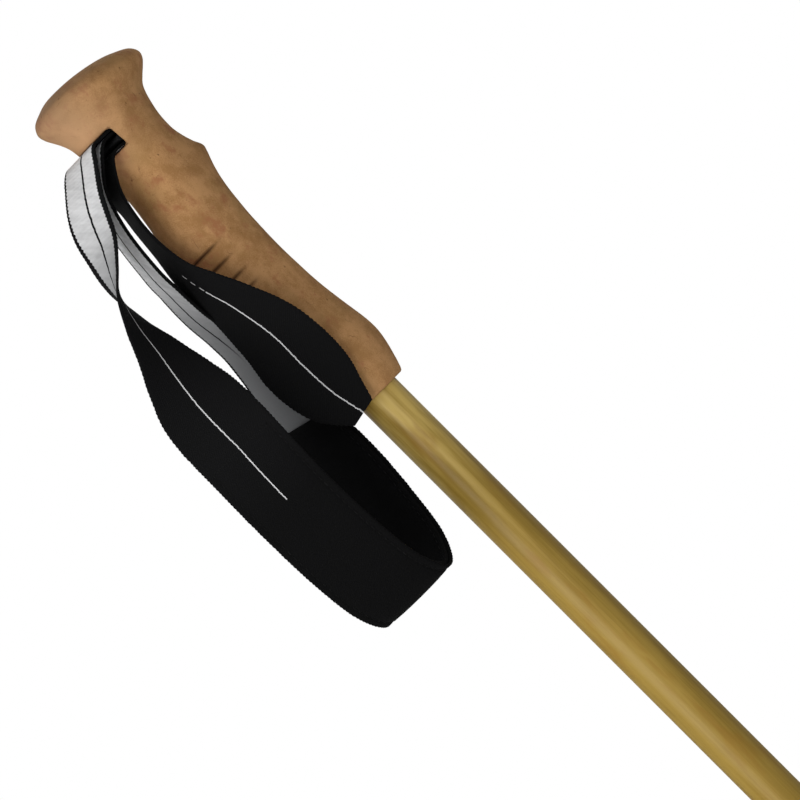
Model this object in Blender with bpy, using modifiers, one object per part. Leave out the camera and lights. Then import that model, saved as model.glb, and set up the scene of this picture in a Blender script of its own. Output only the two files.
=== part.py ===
"""Telescopic walking stick: cork grip, woven wrist strap, three sliding tubes and two lever locks.

The stick stands upright with its tubes pushed fully in. The origin is on the shaft's axis in the
middle of the hand hold. +Z is up, +X is the fingers' side and -X the palm's side, where the strap
leaves its slot. All sizes are in metres.
"""

import math

import bmesh
import bpy
import numpy as np
from mathutils import Matrix, Vector

# Grip
GRIP_LENGTH = 0.1689
HOLD_BELOW_CROWN = 0.090
HEAD_DEPTH = 0.048
HEAD_TILT = 0.096
GRIP_ROUNDNESS = 2.15
GRIP_SIDES = 36
NECK_CORK = 0.0030
GROOVE_DEPTHS = (0.0845, 0.0915, 0.0988, 0.1052)
GROOVE_DEEP = 0.0011
GROOVE_HALF_HEIGHT = 0.0007
GROOVE_SPREAD = math.radians(48)
# Each section: depth below the crown, reach to the front, reach to the rear, share of the neck's half width
GRIP_SECTIONS = (
    (0.0005, 0.0075, 0.0050, 0.31),
    (0.0012, 0.0182, 0.0124, 0.70),
    (0.0030, 0.0259, 0.0175, 0.98),
    (0.0052, 0.0310, 0.0215, 1.20),
    (0.0085, 0.0330, 0.0232, 1.32),
    (0.0115, 0.0322, 0.0224, 1.29),
    (0.0142, 0.0296, 0.0209, 1.20),
    (0.0170, 0.0262, 0.0194, 1.10),
    (0.0205, 0.0224, 0.0179, 1.03),
    (0.0260, 0.0194, 0.0170, 1.00),
    (0.0330, 0.0173, 0.0165, 0.97),
    (0.0400, 0.0170, 0.0160, 0.95),
    (0.0450, 0.0183, 0.0157, 0.95),
    (0.0495, 0.0207, 0.0159, 0.94),
    (0.0535, 0.0236, 0.0166, 0.94),
    (0.0565, 0.0227, 0.0174, 0.94),
    (0.0620, 0.0195, 0.0191, 0.93),
    (0.0690, 0.0166, 0.0209, 0.92),
    (0.0770, 0.0147, 0.0213, 0.90),
    (0.0880, 0.0136, 0.0204, 0.86),
    (0.1000, 0.0132, 0.0189, 0.84),
    (0.1120, 0.0136, 0.0175, 0.84),
    (0.1240, 0.0145, 0.0168, 0.87),
    (0.1340, 0.0162, 0.0171, 0.92),
    (0.1430, 0.0178, 0.0180, 0.98),
    (0.1500, 0.0182, 0.0185, 1.01),
    (0.1560, 0.0172, 0.0178, 0.98),
    (0.1630, 0.0150, 0.0158, 0.90),
    (0.1680, 0.0132, 0.0138, 0.81),
    (0.1689, 0.0122, 0.0127, 0.75),
)

# Strap and the fittings that hold it in the head
SLOT_BELOW_CROWN = 0.0288
SLOT_MOUTH_BACK = 0.0178
STRAP_THICKNESS = 0.0013
STRAP_NARROW = 0.0216
STRAP_SIDE_ROOM = 0.0005
LAYER_GAP = 0.00045
WEDGE_THICKNESS = 0.0034
WEDGE_THIN_END = 0.0024
WEDGE_END_BACK = 0.0035
WEDGE_TAIL_BACK = 0.0132
PIN_RADIUS = 0.0016
PAD_THICKNESS = 0.0020
PAD_INSET = 0.0020
LINING_GAP = 0.0006
HOUSING_WALL = 0.0012
HOUSING_ROOF = 0.0016
HOUSING_FLOOR = 0.0025
HOUSING_BACK = 0.0085
HOUSING_CORNER = 0.0040
PLUG_LENGTH = 0.0220
STRAP_STEP = 0.0065
# The loop's middle line: x, y, depth below the crown (mm), the width line's turn from +X (degrees), width (mm)
LOOP_STATIONS = (
    (-22.2, 0.0, 25.9, 91, 22),
    (-29.0, 0.0, 29.6, 93, 22),
    (-38.5, 0.0, 37.9, 95, 22),
    (-45.2, 0.0, 46, 96, 22),
    (-50.6, 0.2, 55, 88, 22),
    (-56.2, 0.8, 65.8, 66, 22),
    (-60.9, 1.4, 75.5, 43, 22.5),
    (-64.0, 1.8, 87, 23, 23.5),
    (-66.0, 1.6, 99, 2, 25.5),
    (-68.0, 2.2, 112, -22, 29.5),
    (-69.4, 2.9, 126, -46, 34.5),
    (-69.7, 3.3, 145, -64, 38),
    (-69.9, 4.1, 175, -70, 38.8),
    (-67.2, 5.7, 203, -70, 38.8),
    (-60.0, 9.1, 224, -70, 38.8),
    (-46.7, 14.1, 234, -70, 38.8),
    (-32.9, 19.4, 224, -70, 38.8),
    (-25.9, 22.2, 205, -70, 38.8),
    (-22.6, 22.8, 182, -70, 38.5),
    (-22.0, 22.0, 162, -77, 36.5),
    (-22.0, 18.6, 142, -90, 30),
    (-22.6, 16.4, 124, -103, 25),
    (-23.8, 16.1, 112, -108, 23.5),
    (-26.3, 14.6, 100, -113, 22.5),
    (-30.4, 10.8, 87, -116, 22),
    (-33.2, 7.8, 75, -117, 22),
    (-33.1, 4.8, 57, -117, 22),
    (-28.4, 2.6, 41.5, -105, 22),
    (-23.0, 0.5, 31.0, -92, 22),
)
# The free end's middle line, in the same terms
TAIL_STATIONS = (
    (-21.9, 0.2, 34.4, -94, 22),
    (-24.2, 0.4, 41, -111, 22),
    (-26.4, 0.5, 49, -127, 22),
    (-29.1, -0.6, 60, -136, 22),
    (-30.5, -0.8, 72, -136, 22),
    (-30.2, -1.8, 84, -123, 22),
    (-28.9, -4.7, 95, -105, 22.5),
    (-26.6, -6.8, 106.5, -85, 23),
    (-24.6, -7.6, 124.5, -59, 25),
    (-24.2, -7.0, 141, -45, 28),
    (-23.6, -7.0, 156, -41, 25),
    (-21.6, -8.9, 170, -40, 13),
)
PAD_FIRST_STATION = 11
PAD_LAST_STATION = 19

# Tubes, from the thinnest out
TUBE_WALL = 0.00075
TUBE_GAP = 0.00025
LOWER_RADIUS = 0.0070
MIDDLE_RADIUS = LOWER_RADIUS + TUBE_GAP + TUBE_WALL
UPPER_RADIUS = MIDDLE_RADIUS + TUBE_GAP + TUBE_WALL
SEAT_GAP = 0.0003
STOP_GAP = 0.0060
TUBE_SIDES = 32
GUIDE_HEAD = 0.0030
GUIDE_LENGTH = 0.0140
GUIDE_BORE = 0.0030
TUBE_SLIT_WIDTH = 0.0018
TUBE_SLIT_LENGTH = 0.0300

# Lengths that show along the stick with the tubes pushed in
UPPER_SHOWN = 0.2910
MIDDLE_SHOWN = 0.0100
LOWER_SHOWN = 0.0100

# Lever locks
LOCK_HEIGHT = 0.0440
LOCK_LIP = 0.0030
COLLAR_WALL = 0.0024
SHOULDER = 0.0016
SHOULDER_TAPER = 0.0055
RELIEF_HEIGHT = 0.0012
LEVER_HEIGHT = 0.0154
LEVER_SIDE_GAP = 0.0008
LEVER_THICKNESS = 0.0030
LEVER_LIFT = 0.0006
LEVER_TIP_FLARE = 0.0021
LEVER_TIP_ANGLE = math.radians(-14)
EAR_THICKNESS = 0.0030
EAR_MARGIN = 0.0042
EAR_ROUNDING = 0.0030
COLLAR_SLIT = 0.0024
CAM_RADIUS = 0.0044
CAM_OFFSET = 0.0008
BARREL_RADIUS = 0.0026
SCREW_RADIUS = 0.0015
SCREW_HEAD_RADIUS = 0.0030
SCREW_HEAD_HEIGHT = 0.0020
SCREW_SOCKET_RADIUS = 0.0015
SCREW_SOCKET_DEPTH = 0.0012
FORK_HALF_HEIGHT = 0.0029
WASHER_RADIUS = 0.0044
WASHER_THICKNESS = 0.0010
DIAL_RADIUS = 0.0052
DIAL_THICKNESS = 0.0055
DIAL_FLUTES = 12
DIAL_FLUTE_DEEP = 0.0004

# Tip, basket and rubber foot
TIP_LENGTH = 0.0800
TIP_WALL = 0.0013
TIP_SOCKET = 0.0260
TIP_STEM_RADIUS = 0.0050
TIP_STEM_LENGTH = 0.0270
CARBIDE_RADIUS = 0.0023
CARBIDE_OUT = 0.0040
CARBIDE_IN = 0.0100
CARBIDE_FLUTES = 6
BASKET_RADIUS = 0.0250
BASKET_HUB_WALL = 0.0020
BASKET_HUB_HEIGHT = 0.0090
BASKET_BELOW_TIP_TOP = 0.0180
BASKET_THICKNESS = 0.0018
BASKET_DROOP = 0.0035
BASKET_RIM = 0.0012
BASKET_NOTCHES = 6
BASKET_NOTCH_RADIUS = 0.0042
BASKET_WINDOW_RADIUS = 0.0030
FOOT_HEIGHT = 0.0380
FOOT_RADIUS = 0.0150
FOOT_WALL = 0.0032
FOOT_SOLE = 0.0060
FOOT_WASHER = 0.0015
FOOT_TREADS = 8
TREAD_DEPTH = 0.0016
TREAD_PAD_RADIUS = 0.0090
TREAD_RING = 0.0020
TREAD_GAP = 0.0022

# Heights that follow from the sizes above
CROWN_Z = HOLD_BELOW_CROWN
GRIP_BOTTOM_Z = CROWN_Z - GRIP_LENGTH
SLOT_HEIGHT = 3 * STRAP_THICKNESS + WEDGE_THICKNESS + 5 * LAYER_GAP
SLOT_TOP_Z = CROWN_Z - SLOT_BELOW_CROWN + SLOT_HEIGHT / 2
SLOT_FLOOR_Z = SLOT_TOP_Z - SLOT_HEIGHT
SLOT_HALF_WIDTH = STRAP_NARROW / 2 + STRAP_SIDE_ROOM
TOP_STRAND_Z = SLOT_TOP_Z - LAYER_GAP - STRAP_THICKNESS / 2
MIDDLE_STRAND_Z = TOP_STRAND_Z - STRAP_THICKNESS - LAYER_GAP
TAIL_STRAND_Z = SLOT_FLOOR_Z + LAYER_GAP + STRAP_THICKNESS / 2
WEDGE_Z = (MIDDLE_STRAND_Z + TAIL_STRAND_Z) / 2
TURN_RADIUS = (MIDDLE_STRAND_Z - TAIL_STRAND_Z) / 2
EYE_RADIUS = PIN_RADIUS + LAYER_GAP + STRAP_THICKNESS / 2
PIN_X = TURN_RADIUS + EYE_RADIUS + STRAP_THICKNESS + 2 * LAYER_GAP - WEDGE_END_BACK
PIN_Z = TOP_STRAND_Z - EYE_RADIUS
POCKET_FRONT = PIN_X + EYE_RADIUS + STRAP_THICKNESS / 2 + LAYER_GAP
HOUSING_HALF_WIDTH = SLOT_HALF_WIDTH + HOUSING_WALL
HOUSING_TOP_Z = SLOT_TOP_Z + HOUSING_ROOF
HOUSING_BOTTOM_Z = SLOT_FLOOR_Z - HOUSING_FLOOR
NECK_HALF_WIDTH = HOUSING_HALF_WIDTH + NECK_CORK
UPPER_TOP_Z = HOUSING_BOTTOM_Z - SEAT_GAP
PLUG_BOTTOM_Z = HOUSING_BOTTOM_Z - PLUG_LENGTH
MIDDLE_TOP_Z = PLUG_BOTTOM_Z - STOP_GAP - GUIDE_HEAD - SEAT_GAP
LOWER_TOP_Z = MIDDLE_TOP_Z - GUIDE_LENGTH - STOP_GAP - GUIDE_HEAD - SEAT_GAP
UPPER_LOCK_Z = GRIP_BOTTOM_Z - UPPER_SHOWN - LOCK_HEIGHT / 2
LOWER_LOCK_Z = UPPER_LOCK_Z - LOCK_HEIGHT - MIDDLE_SHOWN
UPPER_END_Z = UPPER_LOCK_Z - LOCK_HEIGHT / 2 + LOCK_LIP + SEAT_GAP
MIDDLE_END_Z = LOWER_LOCK_Z - LOCK_HEIGHT / 2 + LOCK_LIP + SEAT_GAP
TIP_TOP_Z = LOWER_LOCK_Z - LOCK_HEIGHT / 2 - LOWER_SHOWN
LOWER_END_Z = TIP_TOP_Z - TIP_SOCKET + SEAT_GAP
TIP_END_Z = TIP_TOP_Z - TIP_LENGTH
FOOT_Z = TIP_END_Z - CARBIDE_OUT - SEAT_GAP - FOOT_WASHER - SEAT_GAP - FOOT_SOLE


def empty_the_scene():
    for item in list(bpy.data.objects):
        bpy.data.objects.remove(item, do_unlink=True)


def new_collection(name):
    group = bpy.data.collections.new(name)
    bpy.context.scene.collection.children.link(group)
    return group


def finish(name, colour, roughness, metallic=0.0):
    material = bpy.data.materials.new(name)
    material.use_nodes = True
    shader = material.node_tree.nodes["Principled BSDF"]
    shader.inputs["Base Color"].default_value = (*colour, 1.0)
    shader.inputs["Roughness"].default_value = roughness
    shader.inputs["Metallic"].default_value = metallic
    material.diffuse_color = (*colour, 1.0)
    return material


def make_finishes():
    return {
        "cork": finish("cork", (0.42, 0.23, 0.11), 0.78),
        "webbing": finish("webbing", (0.012, 0.012, 0.013), 0.85),
        "lining": finish("lining", (0.010, 0.010, 0.011), 0.95),
        "bamboo_lacquer": finish("bamboo_lacquer", (0.46, 0.33, 0.10), 0.32, 0.25),
        "anodised": finish("anodised", (0.55, 0.54, 0.52), 0.35, 1.0),
        "black_plastic": finish("black_plastic", (0.020, 0.020, 0.022), 0.45),
        "grey_plastic": finish("grey_plastic", (0.10, 0.10, 0.11), 0.50),
        "white_plastic": finish("white_plastic", (0.62, 0.62, 0.60), 0.50),
        "steel": finish("steel", (0.60, 0.60, 0.62), 0.28, 1.0),
        "carbide": finish("carbide", (0.30, 0.30, 0.31), 0.40, 1.0),
        "rubber": finish("rubber", (0.016, 0.016, 0.016), 0.88),
    }


class Maker:
    """Holds the two collections and the finishes that every piece is made with."""

    def __init__(self):
        self.parts = new_collection("telescopic_walking_stick")
        self.cutters = new_collection("cutters")
        self.finishes = make_finishes()

    def add(self, name, mesh, colour=None, at=(0, 0, 0), under=None):
        """Links a mesh as a sub-part, or as a cutter where it has no finish."""
        item = bpy.data.objects.new(name, mesh)
        item.location = at
        if colour is None:
            self.cutters.objects.link(item)
            item.hide_render = True
            item.display_type = "WIRE"
        else:
            self.parts.objects.link(item)
            mesh.materials.append(self.finishes[colour])
        if under is not None:
            item.parent = under
        return item

    def joint_frame(self, name, at=(0, 0, 0), under=None):
        """An empty that carries the pieces of one moving section."""
        frame = bpy.data.objects.new(name, None)
        frame.empty_display_size = 0.02
        frame.location = at
        frame.parent = under
        self.parts.objects.link(frame)
        return frame

    def turned(self, name, profile, colour=None, at=(0, 0, 0), under=None, sides=TUBE_SIDES, closed=True):
        """Turns (radius, height) points about Z; they run down the outer side, and up the bore if closed."""
        mesh = bpy.data.meshes.new(name)
        edges = [(i, i + 1) for i in range(len(profile) - 1)]
        if closed:
            edges.append((len(profile) - 1, 0))
        mesh.from_pydata([(r, 0.0, z) for r, z in profile], edges, [])
        item = self.add(name, mesh, colour, at, under)
        screw = item.modifiers.new("turn", "SCREW")
        screw.axis = "Z"
        screw.steps = sides
        screw.render_steps = sides
        screw.use_merge_vertices = True
        screw.merge_threshold = 0.00001
        return item

    def solid(self, name, bm, colour=None, at=(0, 0, 0), under=None):
        mesh = bpy.data.meshes.new(name)
        bmesh.ops.recalc_face_normals(bm, faces=bm.faces)
        bm.to_mesh(mesh)
        bm.free()
        return self.add(name, mesh, colour, at, under)

    def block(self, name, low, high, colour=None, at=(0, 0, 0), under=None):
        bm = bmesh.new()
        bmesh.ops.create_cube(bm, size=1.0)
        low, high = Vector(low), Vector(high)
        bmesh.ops.scale(bm, vec=high - low, verts=bm.verts)
        bmesh.ops.translate(bm, vec=(high + low) / 2, verts=bm.verts)
        return self.solid(name, bm, colour, at, under)

    def rod(self, name, radius, length, colour=None, at=(0, 0, 0), under=None, along="Z", sides=24):
        bm = bmesh.new()
        bmesh.ops.create_cone(
            bm, cap_ends=True, segments=sides, radius1=radius, radius2=radius, depth=length
        )
        if along == "Y":
            bmesh.ops.rotate(bm, matrix=Matrix.Rotation(math.pi / 2, 3, "X"), verts=bm.verts)
        return self.solid(name, bm, colour, at, under)

    def plate(self, name, outline, thickness, colour=None, at=(0, 0, 0), under=None, upright=False):
        """A flat outline given a thickness along Z, or along Y with its second axis upright."""
        curve = bpy.data.curves.new(name, "CURVE")
        curve.dimensions = "2D"
        curve.fill_mode = "BOTH"
        curve.extrude = thickness / 2
        line = curve.splines.new("POLY")
        line.points.add(len(outline) - 1)
        for point, (x, y) in zip(line.points, outline):
            point.co = (x, y, 0.0, 1.0)
        line.use_cyclic_u = True
        drawn = bpy.data.objects.new(name, curve)
        bpy.context.scene.collection.objects.link(drawn)
        graph = bpy.context.evaluated_depsgraph_get()
        mesh = bpy.data.meshes.new_from_object(drawn.evaluated_get(graph))
        bpy.data.objects.remove(drawn)
        bm = bmesh.new()
        bm.from_mesh(mesh)
        bpy.data.meshes.remove(mesh)
        bmesh.ops.remove_doubles(bm, verts=bm.verts, dist=0.000001)
        bmesh.ops.dissolve_limit(bm, angle_limit=0.001, verts=bm.verts, edges=bm.edges)
        if upright:
            bmesh.ops.rotate(bm, matrix=Matrix.Rotation(math.pi / 2, 3, "X"), verts=bm.verts)
        return self.solid(name, bm, colour, at, under)


def combine(item, tool, operation="DIFFERENCE"):
    step = item.modifiers.new(tool.name, "BOOLEAN")
    step.operation = operation
    step.solver = "EXACT"
    step.object = tool


def soften(item, width, segments=2, angle=40):
    bevel = item.modifiers.new("softened edges", "BEVEL")
    bevel.width = width
    bevel.segments = segments
    bevel.limit_method = "ANGLE"
    bevel.angle_limit = math.radians(angle)
    bevel.use_clamp_overlap = True


def settle(item, angle=35):
    """Turns the modifiers into the mesh, and shades it smooth with its sharp edges kept."""
    graph = bpy.context.evaluated_depsgraph_get()
    mesh = bpy.data.meshes.new_from_object(item.evaluated_get(graph))
    item.modifiers.clear()
    item.data = mesh
    mesh.name = item.name
    mesh.shade_smooth()
    mesh.set_sharp_from_angle(angle=math.radians(angle))


def arc(centre, radius, start, end, count):
    """Points of a circle's stretch, with angles in radians."""
    steps = np.linspace(start, end, count)
    return [(centre[0] + radius * math.cos(a), centre[1] + radius * math.sin(a)) for a in steps]


def smooth_rows(stations, counts):
    """Reads rows of a Catmull-Rom curve through the stations, with so many steps in each span."""
    knots = np.array(stations, float)
    padded = np.vstack([2 * knots[0] - knots[1], knots, 2 * knots[-1] - knots[-2]])
    rows = []
    for i, count in enumerate(counts):
        before, start, end, after = padded[i : i + 4]
        for t in np.arange(count) / count:
            rows.append(
                0.5
                * (
                    2 * start
                    + (end - before) * t
                    + (2 * before - 5 * start + 4 * end - after) * t**2
                    + (3 * start - before - 3 * end + after) * t**3
                )
            )
    rows.append(knots[-1])
    return np.array(rows)


def grip_depth(depth):
    """The grip below its head stretches with GRIP_LENGTH; the head keeps its height."""
    drawn = GRIP_SECTIONS[-1][0]
    if depth <= HEAD_DEPTH:
        return depth
    return HEAD_DEPTH + (depth - HEAD_DEPTH) * (GRIP_LENGTH - HEAD_DEPTH) / (drawn - HEAD_DEPTH)


def grip_rows():
    """Sections down the grip, closer together at the four palm grooves."""
    known = smooth_rows(GRIP_SECTIONS, [3] * (len(GRIP_SECTIONS) - 1))
    rows = list(GRIP_SECTIONS)
    extra = []
    for depth in GROOVE_DEPTHS:
        rows = [row for row in rows if abs(row[0] - depth) > 2 * GROOVE_HALF_HEIGHT]
        extra += [depth + side * GROOVE_HALF_HEIGHT for side in (-1.3, -0.25, 0.25, 1.3)]
    for depth in extra:
        rows.append((depth, *(np.interp(depth, known[:, 0], known[:, k]) for k in (1, 2, 3))))
    return sorted(rows)


def groove_at(depth, angle):
    """How far the surface is drawn in by the palm grooves at a depth and an angle from the front."""
    off_rear = abs(abs(angle) - math.pi)
    across = max(0.0, 1.0 - (off_rear / GROOVE_SPREAD) ** 2)
    near = min(abs(depth - centre) for centre in GROOVE_DEPTHS)
    return GROOVE_DEEP * min(1.0, 1.6 * across) * (near < GROOVE_HALF_HEIGHT)


def make_grip(maker, under):
    bm = bmesh.new()
    rings = []
    power = 2 / GRIP_ROUNDNESS
    for depth, front, rear, share in grip_rows():
        ring = []
        for k in range(GRIP_SIDES):
            angle = -math.pi + 2 * math.pi * k / GRIP_SIDES
            c, s = math.cos(angle), math.sin(angle)
            inset = groove_at(depth, angle)
            reach = (front if c > 0 else rear) - inset
            half = share * NECK_HALF_WIDTH - inset
            x = reach * math.copysign(abs(c) ** power, c)
            y = half * math.copysign(abs(s) ** power, s)
            lean = HEAD_TILT * x * max(0.0, 1.0 - depth / (0.9 * HEAD_DEPTH))
            ring.append(bm.verts.new((x, y, CROWN_Z - grip_depth(depth) - lean)))
        rings.append(ring)
    for upper, lower in zip(rings, rings[1:]):
        for k in range(GRIP_SIDES):
            bm.faces.new((upper[k], lower[k], lower[(k + 1) % GRIP_SIDES], upper[(k + 1) % GRIP_SIDES]))
    bm.faces.new(rings[0])
    bm.faces.new(reversed(rings[-1]))
    grip = maker.solid("cork_grip", bm, "cork", under=under)
    room = housing_outline(SEAT_GAP)
    hollow = maker.plate(
        "housing_room",
        room,
        HOUSING_TOP_Z - HOUSING_BOTTOM_Z + 2 * SEAT_GAP,
        at=(0, 0, (HOUSING_TOP_Z + HOUSING_BOTTOM_Z) / 2),
    )
    combine(grip, hollow)
    slot = maker.block(
        "strap_slot",
        (-2 * GRIP_SECTIONS[4][2], -SLOT_HALF_WIDTH, SLOT_FLOOR_Z),
        (-HOUSING_BACK + HOUSING_WALL, SLOT_HALF_WIDTH, SLOT_TOP_Z),
    )
    combine(grip, slot)
    bore_length = HOUSING_BOTTOM_Z - GRIP_BOTTOM_Z + 2 * HOUSING_WALL
    bore = maker.rod(
        "shaft_bore",
        UPPER_RADIUS + SEAT_GAP,
        bore_length,
        at=(0, 0, HOUSING_BOTTOM_Z - bore_length / 2 + HOUSING_WALL / 2),
        sides=TUBE_SIDES,
    )
    combine(grip, bore)
    return grip


def housing_outline(grow):
    """The strap housing's plan, larger all round by so much."""
    front = POCKET_FRONT + HOUSING_WALL + grow
    back = -HOUSING_BACK - grow
    side = HOUSING_HALF_WIDTH + grow
    round_front = min(HOUSING_CORNER, front, side)
    points = arc((front - round_front, side - round_front), round_front, 0, math.pi / 2, 6)
    points += [(back, side), (back, -side)]
    points += arc((front - round_front, -side + round_front), round_front, -math.pi / 2, 0, 6)
    return points


def make_strap_housing(maker, under):
    height = HOUSING_TOP_Z - HOUSING_BOTTOM_Z
    housing = maker.plate(
        "strap_housing",
        housing_outline(0.0),
        height,
        "black_plastic",
        at=(0, 0, (HOUSING_TOP_Z + HOUSING_BOTTOM_Z) / 2),
        under=under,
    )
    plug_radius = UPPER_RADIUS - TUBE_WALL - SEAT_GAP
    plug = maker.turned(
        "housing_plug",
        (
            (0, HOUSING_BOTTOM_Z + HOUSING_FLOOR / 2),
            (plug_radius, HOUSING_BOTTOM_Z + HOUSING_FLOOR / 2),
            (plug_radius, PLUG_BOTTOM_Z + HOUSING_WALL),
            (plug_radius - HOUSING_WALL, PLUG_BOTTOM_Z),
            (0, PLUG_BOTTOM_Z),
        ),
        closed=False,
    )
    combine(housing, plug, "UNION")
    pocket = maker.block(
        "strap_pocket",
        (-2 * HOUSING_BACK, -SLOT_HALF_WIDTH, SLOT_FLOOR_Z),
        (POCKET_FRONT, SLOT_HALF_WIDTH, SLOT_TOP_Z),
    )
    combine(housing, pocket)
    hole = maker.rod(
        "pin_holes",
        PIN_RADIUS + SEAT_GAP,
        3 * HOUSING_HALF_WIDTH,
        at=(PIN_X, 0, PIN_Z),
        along="Y",
    )
    combine(housing, hole)
    maker.rod(
        "strap_pin",
        PIN_RADIUS,
        2 * HOUSING_HALF_WIDTH,
        "steel",
        at=(PIN_X, 0, PIN_Z),
        under=under,
        along="Y",
    )


def make_wedge(maker, under):
    """The block that the returning strand turns round; it slides out of the slot to free the strap."""
    frame = maker.joint_frame("strap_wedge_slide", (-WEDGE_END_BACK, 0, WEDGE_Z), under)
    half = WEDGE_THICKNESS / 2
    thin = WEDGE_THIN_END / 2
    long = WEDGE_TAIL_BACK - WEDGE_END_BACK
    outline = arc((0, 0), half, -math.pi / 2, math.pi / 2, 11)
    outline += [(-long + half, thin), (-long, thin / 2), (-long, -thin / 2), (-long + half, -thin)]
    maker.plate("strap_wedge", outline, STRAP_NARROW, "black_plastic", under=frame, upright=True)


def strap_line():
    """The strap's whole middle line, from its sewn eye round the loop to its free end.

    Each row is x, y, z, the width line's turn from +X in radians, and the width. Also gives the
    row numbers between which the lining lies.
    """
    mouth = -SLOT_MOUTH_BACK
    head = []
    for a in np.linspace(-math.pi / 2, math.pi / 2, 8):
        head.append((PIN_X + EYE_RADIUS * math.cos(a), 0, PIN_Z + EYE_RADIUS * math.sin(a), 90))
    head.append((mouth / 2, 0, TOP_STRAND_Z, 90))
    head.append((mouth, 0, TOP_STRAND_Z, 90))
    turn = [(mouth, 0, MIDDLE_STRAND_Z, -90), (mouth / 2, 0, MIDDLE_STRAND_Z, -90)]
    for a in np.linspace(math.pi / 2, -math.pi / 2, 8):
        x = TURN_RADIUS * math.cos(a) - WEDGE_END_BACK
        turn.append((x, 0, WEDGE_Z + TURN_RADIUS * math.sin(a), -90))
    turn += [(mouth / 2, 0, TAIL_STRAND_Z, -90), (mouth, 0, TAIL_STRAND_Z, -90)]
    rows = [(x, y, z, math.radians(t), STRAP_NARROW) for x, y, z, t in head]
    loop_start = len(rows)
    rows += [placed(station) for station in LOOP_STATIONS]
    rows += [(x, y, z, math.radians(t), STRAP_NARROW) for x, y, z, t in turn]
    rows += [placed(station) for station in TAIL_STATIONS]
    counts = []
    for a, b in zip(rows, rows[1:]):
        counts.append(max(1, round(math.dist(a[:3], b[:3]) / STRAP_STEP)))
    first = sum(counts[: loop_start + PAD_FIRST_STATION])
    last = sum(counts[: loop_start + PAD_LAST_STATION])
    return smooth_rows(rows, counts), first, last


def placed(station):
    """One chosen station in metres, with its width scaled by the strap's narrow width."""
    x, y, depth, turn, width = station
    z = CROWN_Z - depth / 1000
    return (x / 1000, y / 1000, z, math.radians(turn), width / LOOP_STATIONS[0][4] * STRAP_NARROW)


def strap_frames(line):
    """For each row: the middle point, the unit line across, the outward normal and the width."""
    points = line[:, :3]
    along = np.gradient(points, axis=0)
    frames = []
    for point, tangent, turn, width in zip(points, along, line[:, 3], line[:, 4]):
        tangent = Vector(tangent).normalized()
        across = Vector((math.cos(turn), math.sin(turn), 0.0))
        across = (across - across.dot(tangent) * tangent).normalized()
        frames.append((Vector(point), across, tangent.cross(across).normalized(), width))
    return frames


def make_band(maker, name, frames, thickness, colour, under, lift=0.0, inset=0.0):
    """A cloth band of one thickness along the frames, moved by lift along their normals."""
    bm = bmesh.new()
    rings = []
    for point, across, normal, width in frames:
        edge = width / 2 - inset
        inner = 0.2 * width
        upper = [(side, lift + thickness / 2) for side in (-edge, -inner, inner, edge)]
        lower = [(side, lift - thickness / 2) for side in (edge, inner, -inner, -edge)]
        rings.append([bm.verts.new(point + across * a + normal * b) for a, b in upper + lower])
    for a, b in zip(rings, rings[1:]):
        for k in range(len(a)):
            n = (k + 1) % len(a)
            bm.faces.new((a[k], a[n], b[n], b[k]))
    bm.faces.new(rings[0])
    bm.faces.new(reversed(rings[-1]))
    return maker.solid(name, bm, colour, under=under)


def make_strap(maker, under):
    line, first, last = strap_line()
    frames = strap_frames(line)
    make_band(maker, "strap_webbing", frames, STRAP_THICKNESS, "webbing", under)
    lift = -(STRAP_THICKNESS / 2 + LINING_GAP + PAD_THICKNESS / 2)
    make_band(
        maker,
        "strap_lining",
        frames[first : last + 1],
        PAD_THICKNESS,
        "lining",
        under,
        lift,
        PAD_INSET,
    )


def make_tube(maker, name, radius, top, end, colour, under, slit=True):
    inner = radius - TUBE_WALL
    tube = maker.turned(
        name, ((radius, top), (radius, end), (inner, end), (inner, top)), colour, under=under
    )
    if slit:
        cut = maker.block(
            name + "_slit",
            (-2 * radius, -TUBE_SLIT_WIDTH / 2, end - LOCK_LIP),
            (0, TUBE_SLIT_WIDTH / 2, end + TUBE_SLIT_LENGTH),
        )
        combine(tube, cut)
    return tube


def make_guide(maker, name, radius, top, under):
    """The plastic bush in a tube's upper end, which keeps it from rattling in the next tube."""
    plug = radius - TUBE_WALL - SEAT_GAP
    head = top + SEAT_GAP
    chamfer = GUIDE_HEAD / 5
    maker.turned(
        name,
        (
            (radius - chamfer, head + GUIDE_HEAD),
            (radius, head + GUIDE_HEAD - chamfer),
            (radius, head),
            (plug, head),
            (plug, top - GUIDE_LENGTH + chamfer),
            (plug - chamfer, top - GUIDE_LENGTH),
            (GUIDE_BORE, top - GUIDE_LENGTH),
            (GUIDE_BORE, head + GUIDE_HEAD),
        ),
        "white_plastic",
        under=under,
        sides=24,
    )


def lever_outline(pivot, inner):
    """The cam lever's plan about the tube's axis: a cam at the pivot and an arm round the collar."""
    outer = inner + LEVER_THICKNESS
    cam = (pivot[0], pivot[1] - CAM_OFFSET)
    lean = math.atan2(pivot[1], pivot[0])
    arm_start = lean - math.asin(min(0.9, (CAM_RADIUS + SEAT_GAP) / inner)) * 0.75
    shoulder = lean - math.asin(min(0.9, (CAM_RADIUS + outer - inner) / inner))
    points = []
    for a in np.linspace(LEVER_TIP_ANGLE, shoulder, 15):
        flare = LEVER_TIP_FLARE * max(0.0, 1 - (a - LEVER_TIP_ANGLE) / math.radians(24)) ** 2
        points.append(((outer + flare) * math.cos(a), (outer + flare) * math.sin(a)))
    points += arc(cam, CAM_RADIUS, math.radians(100), math.radians(310), 15)
    for a in np.linspace(arm_start, LEVER_TIP_ANGLE, 15):
        flare = 1.3 * LEVER_TIP_FLARE * max(0.0, 1 - (a - LEVER_TIP_ANGLE) / math.radians(20)) ** 2
        points.append(((inner + flare) * math.cos(a), (inner + flare) * math.sin(a)))
    return points


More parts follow.
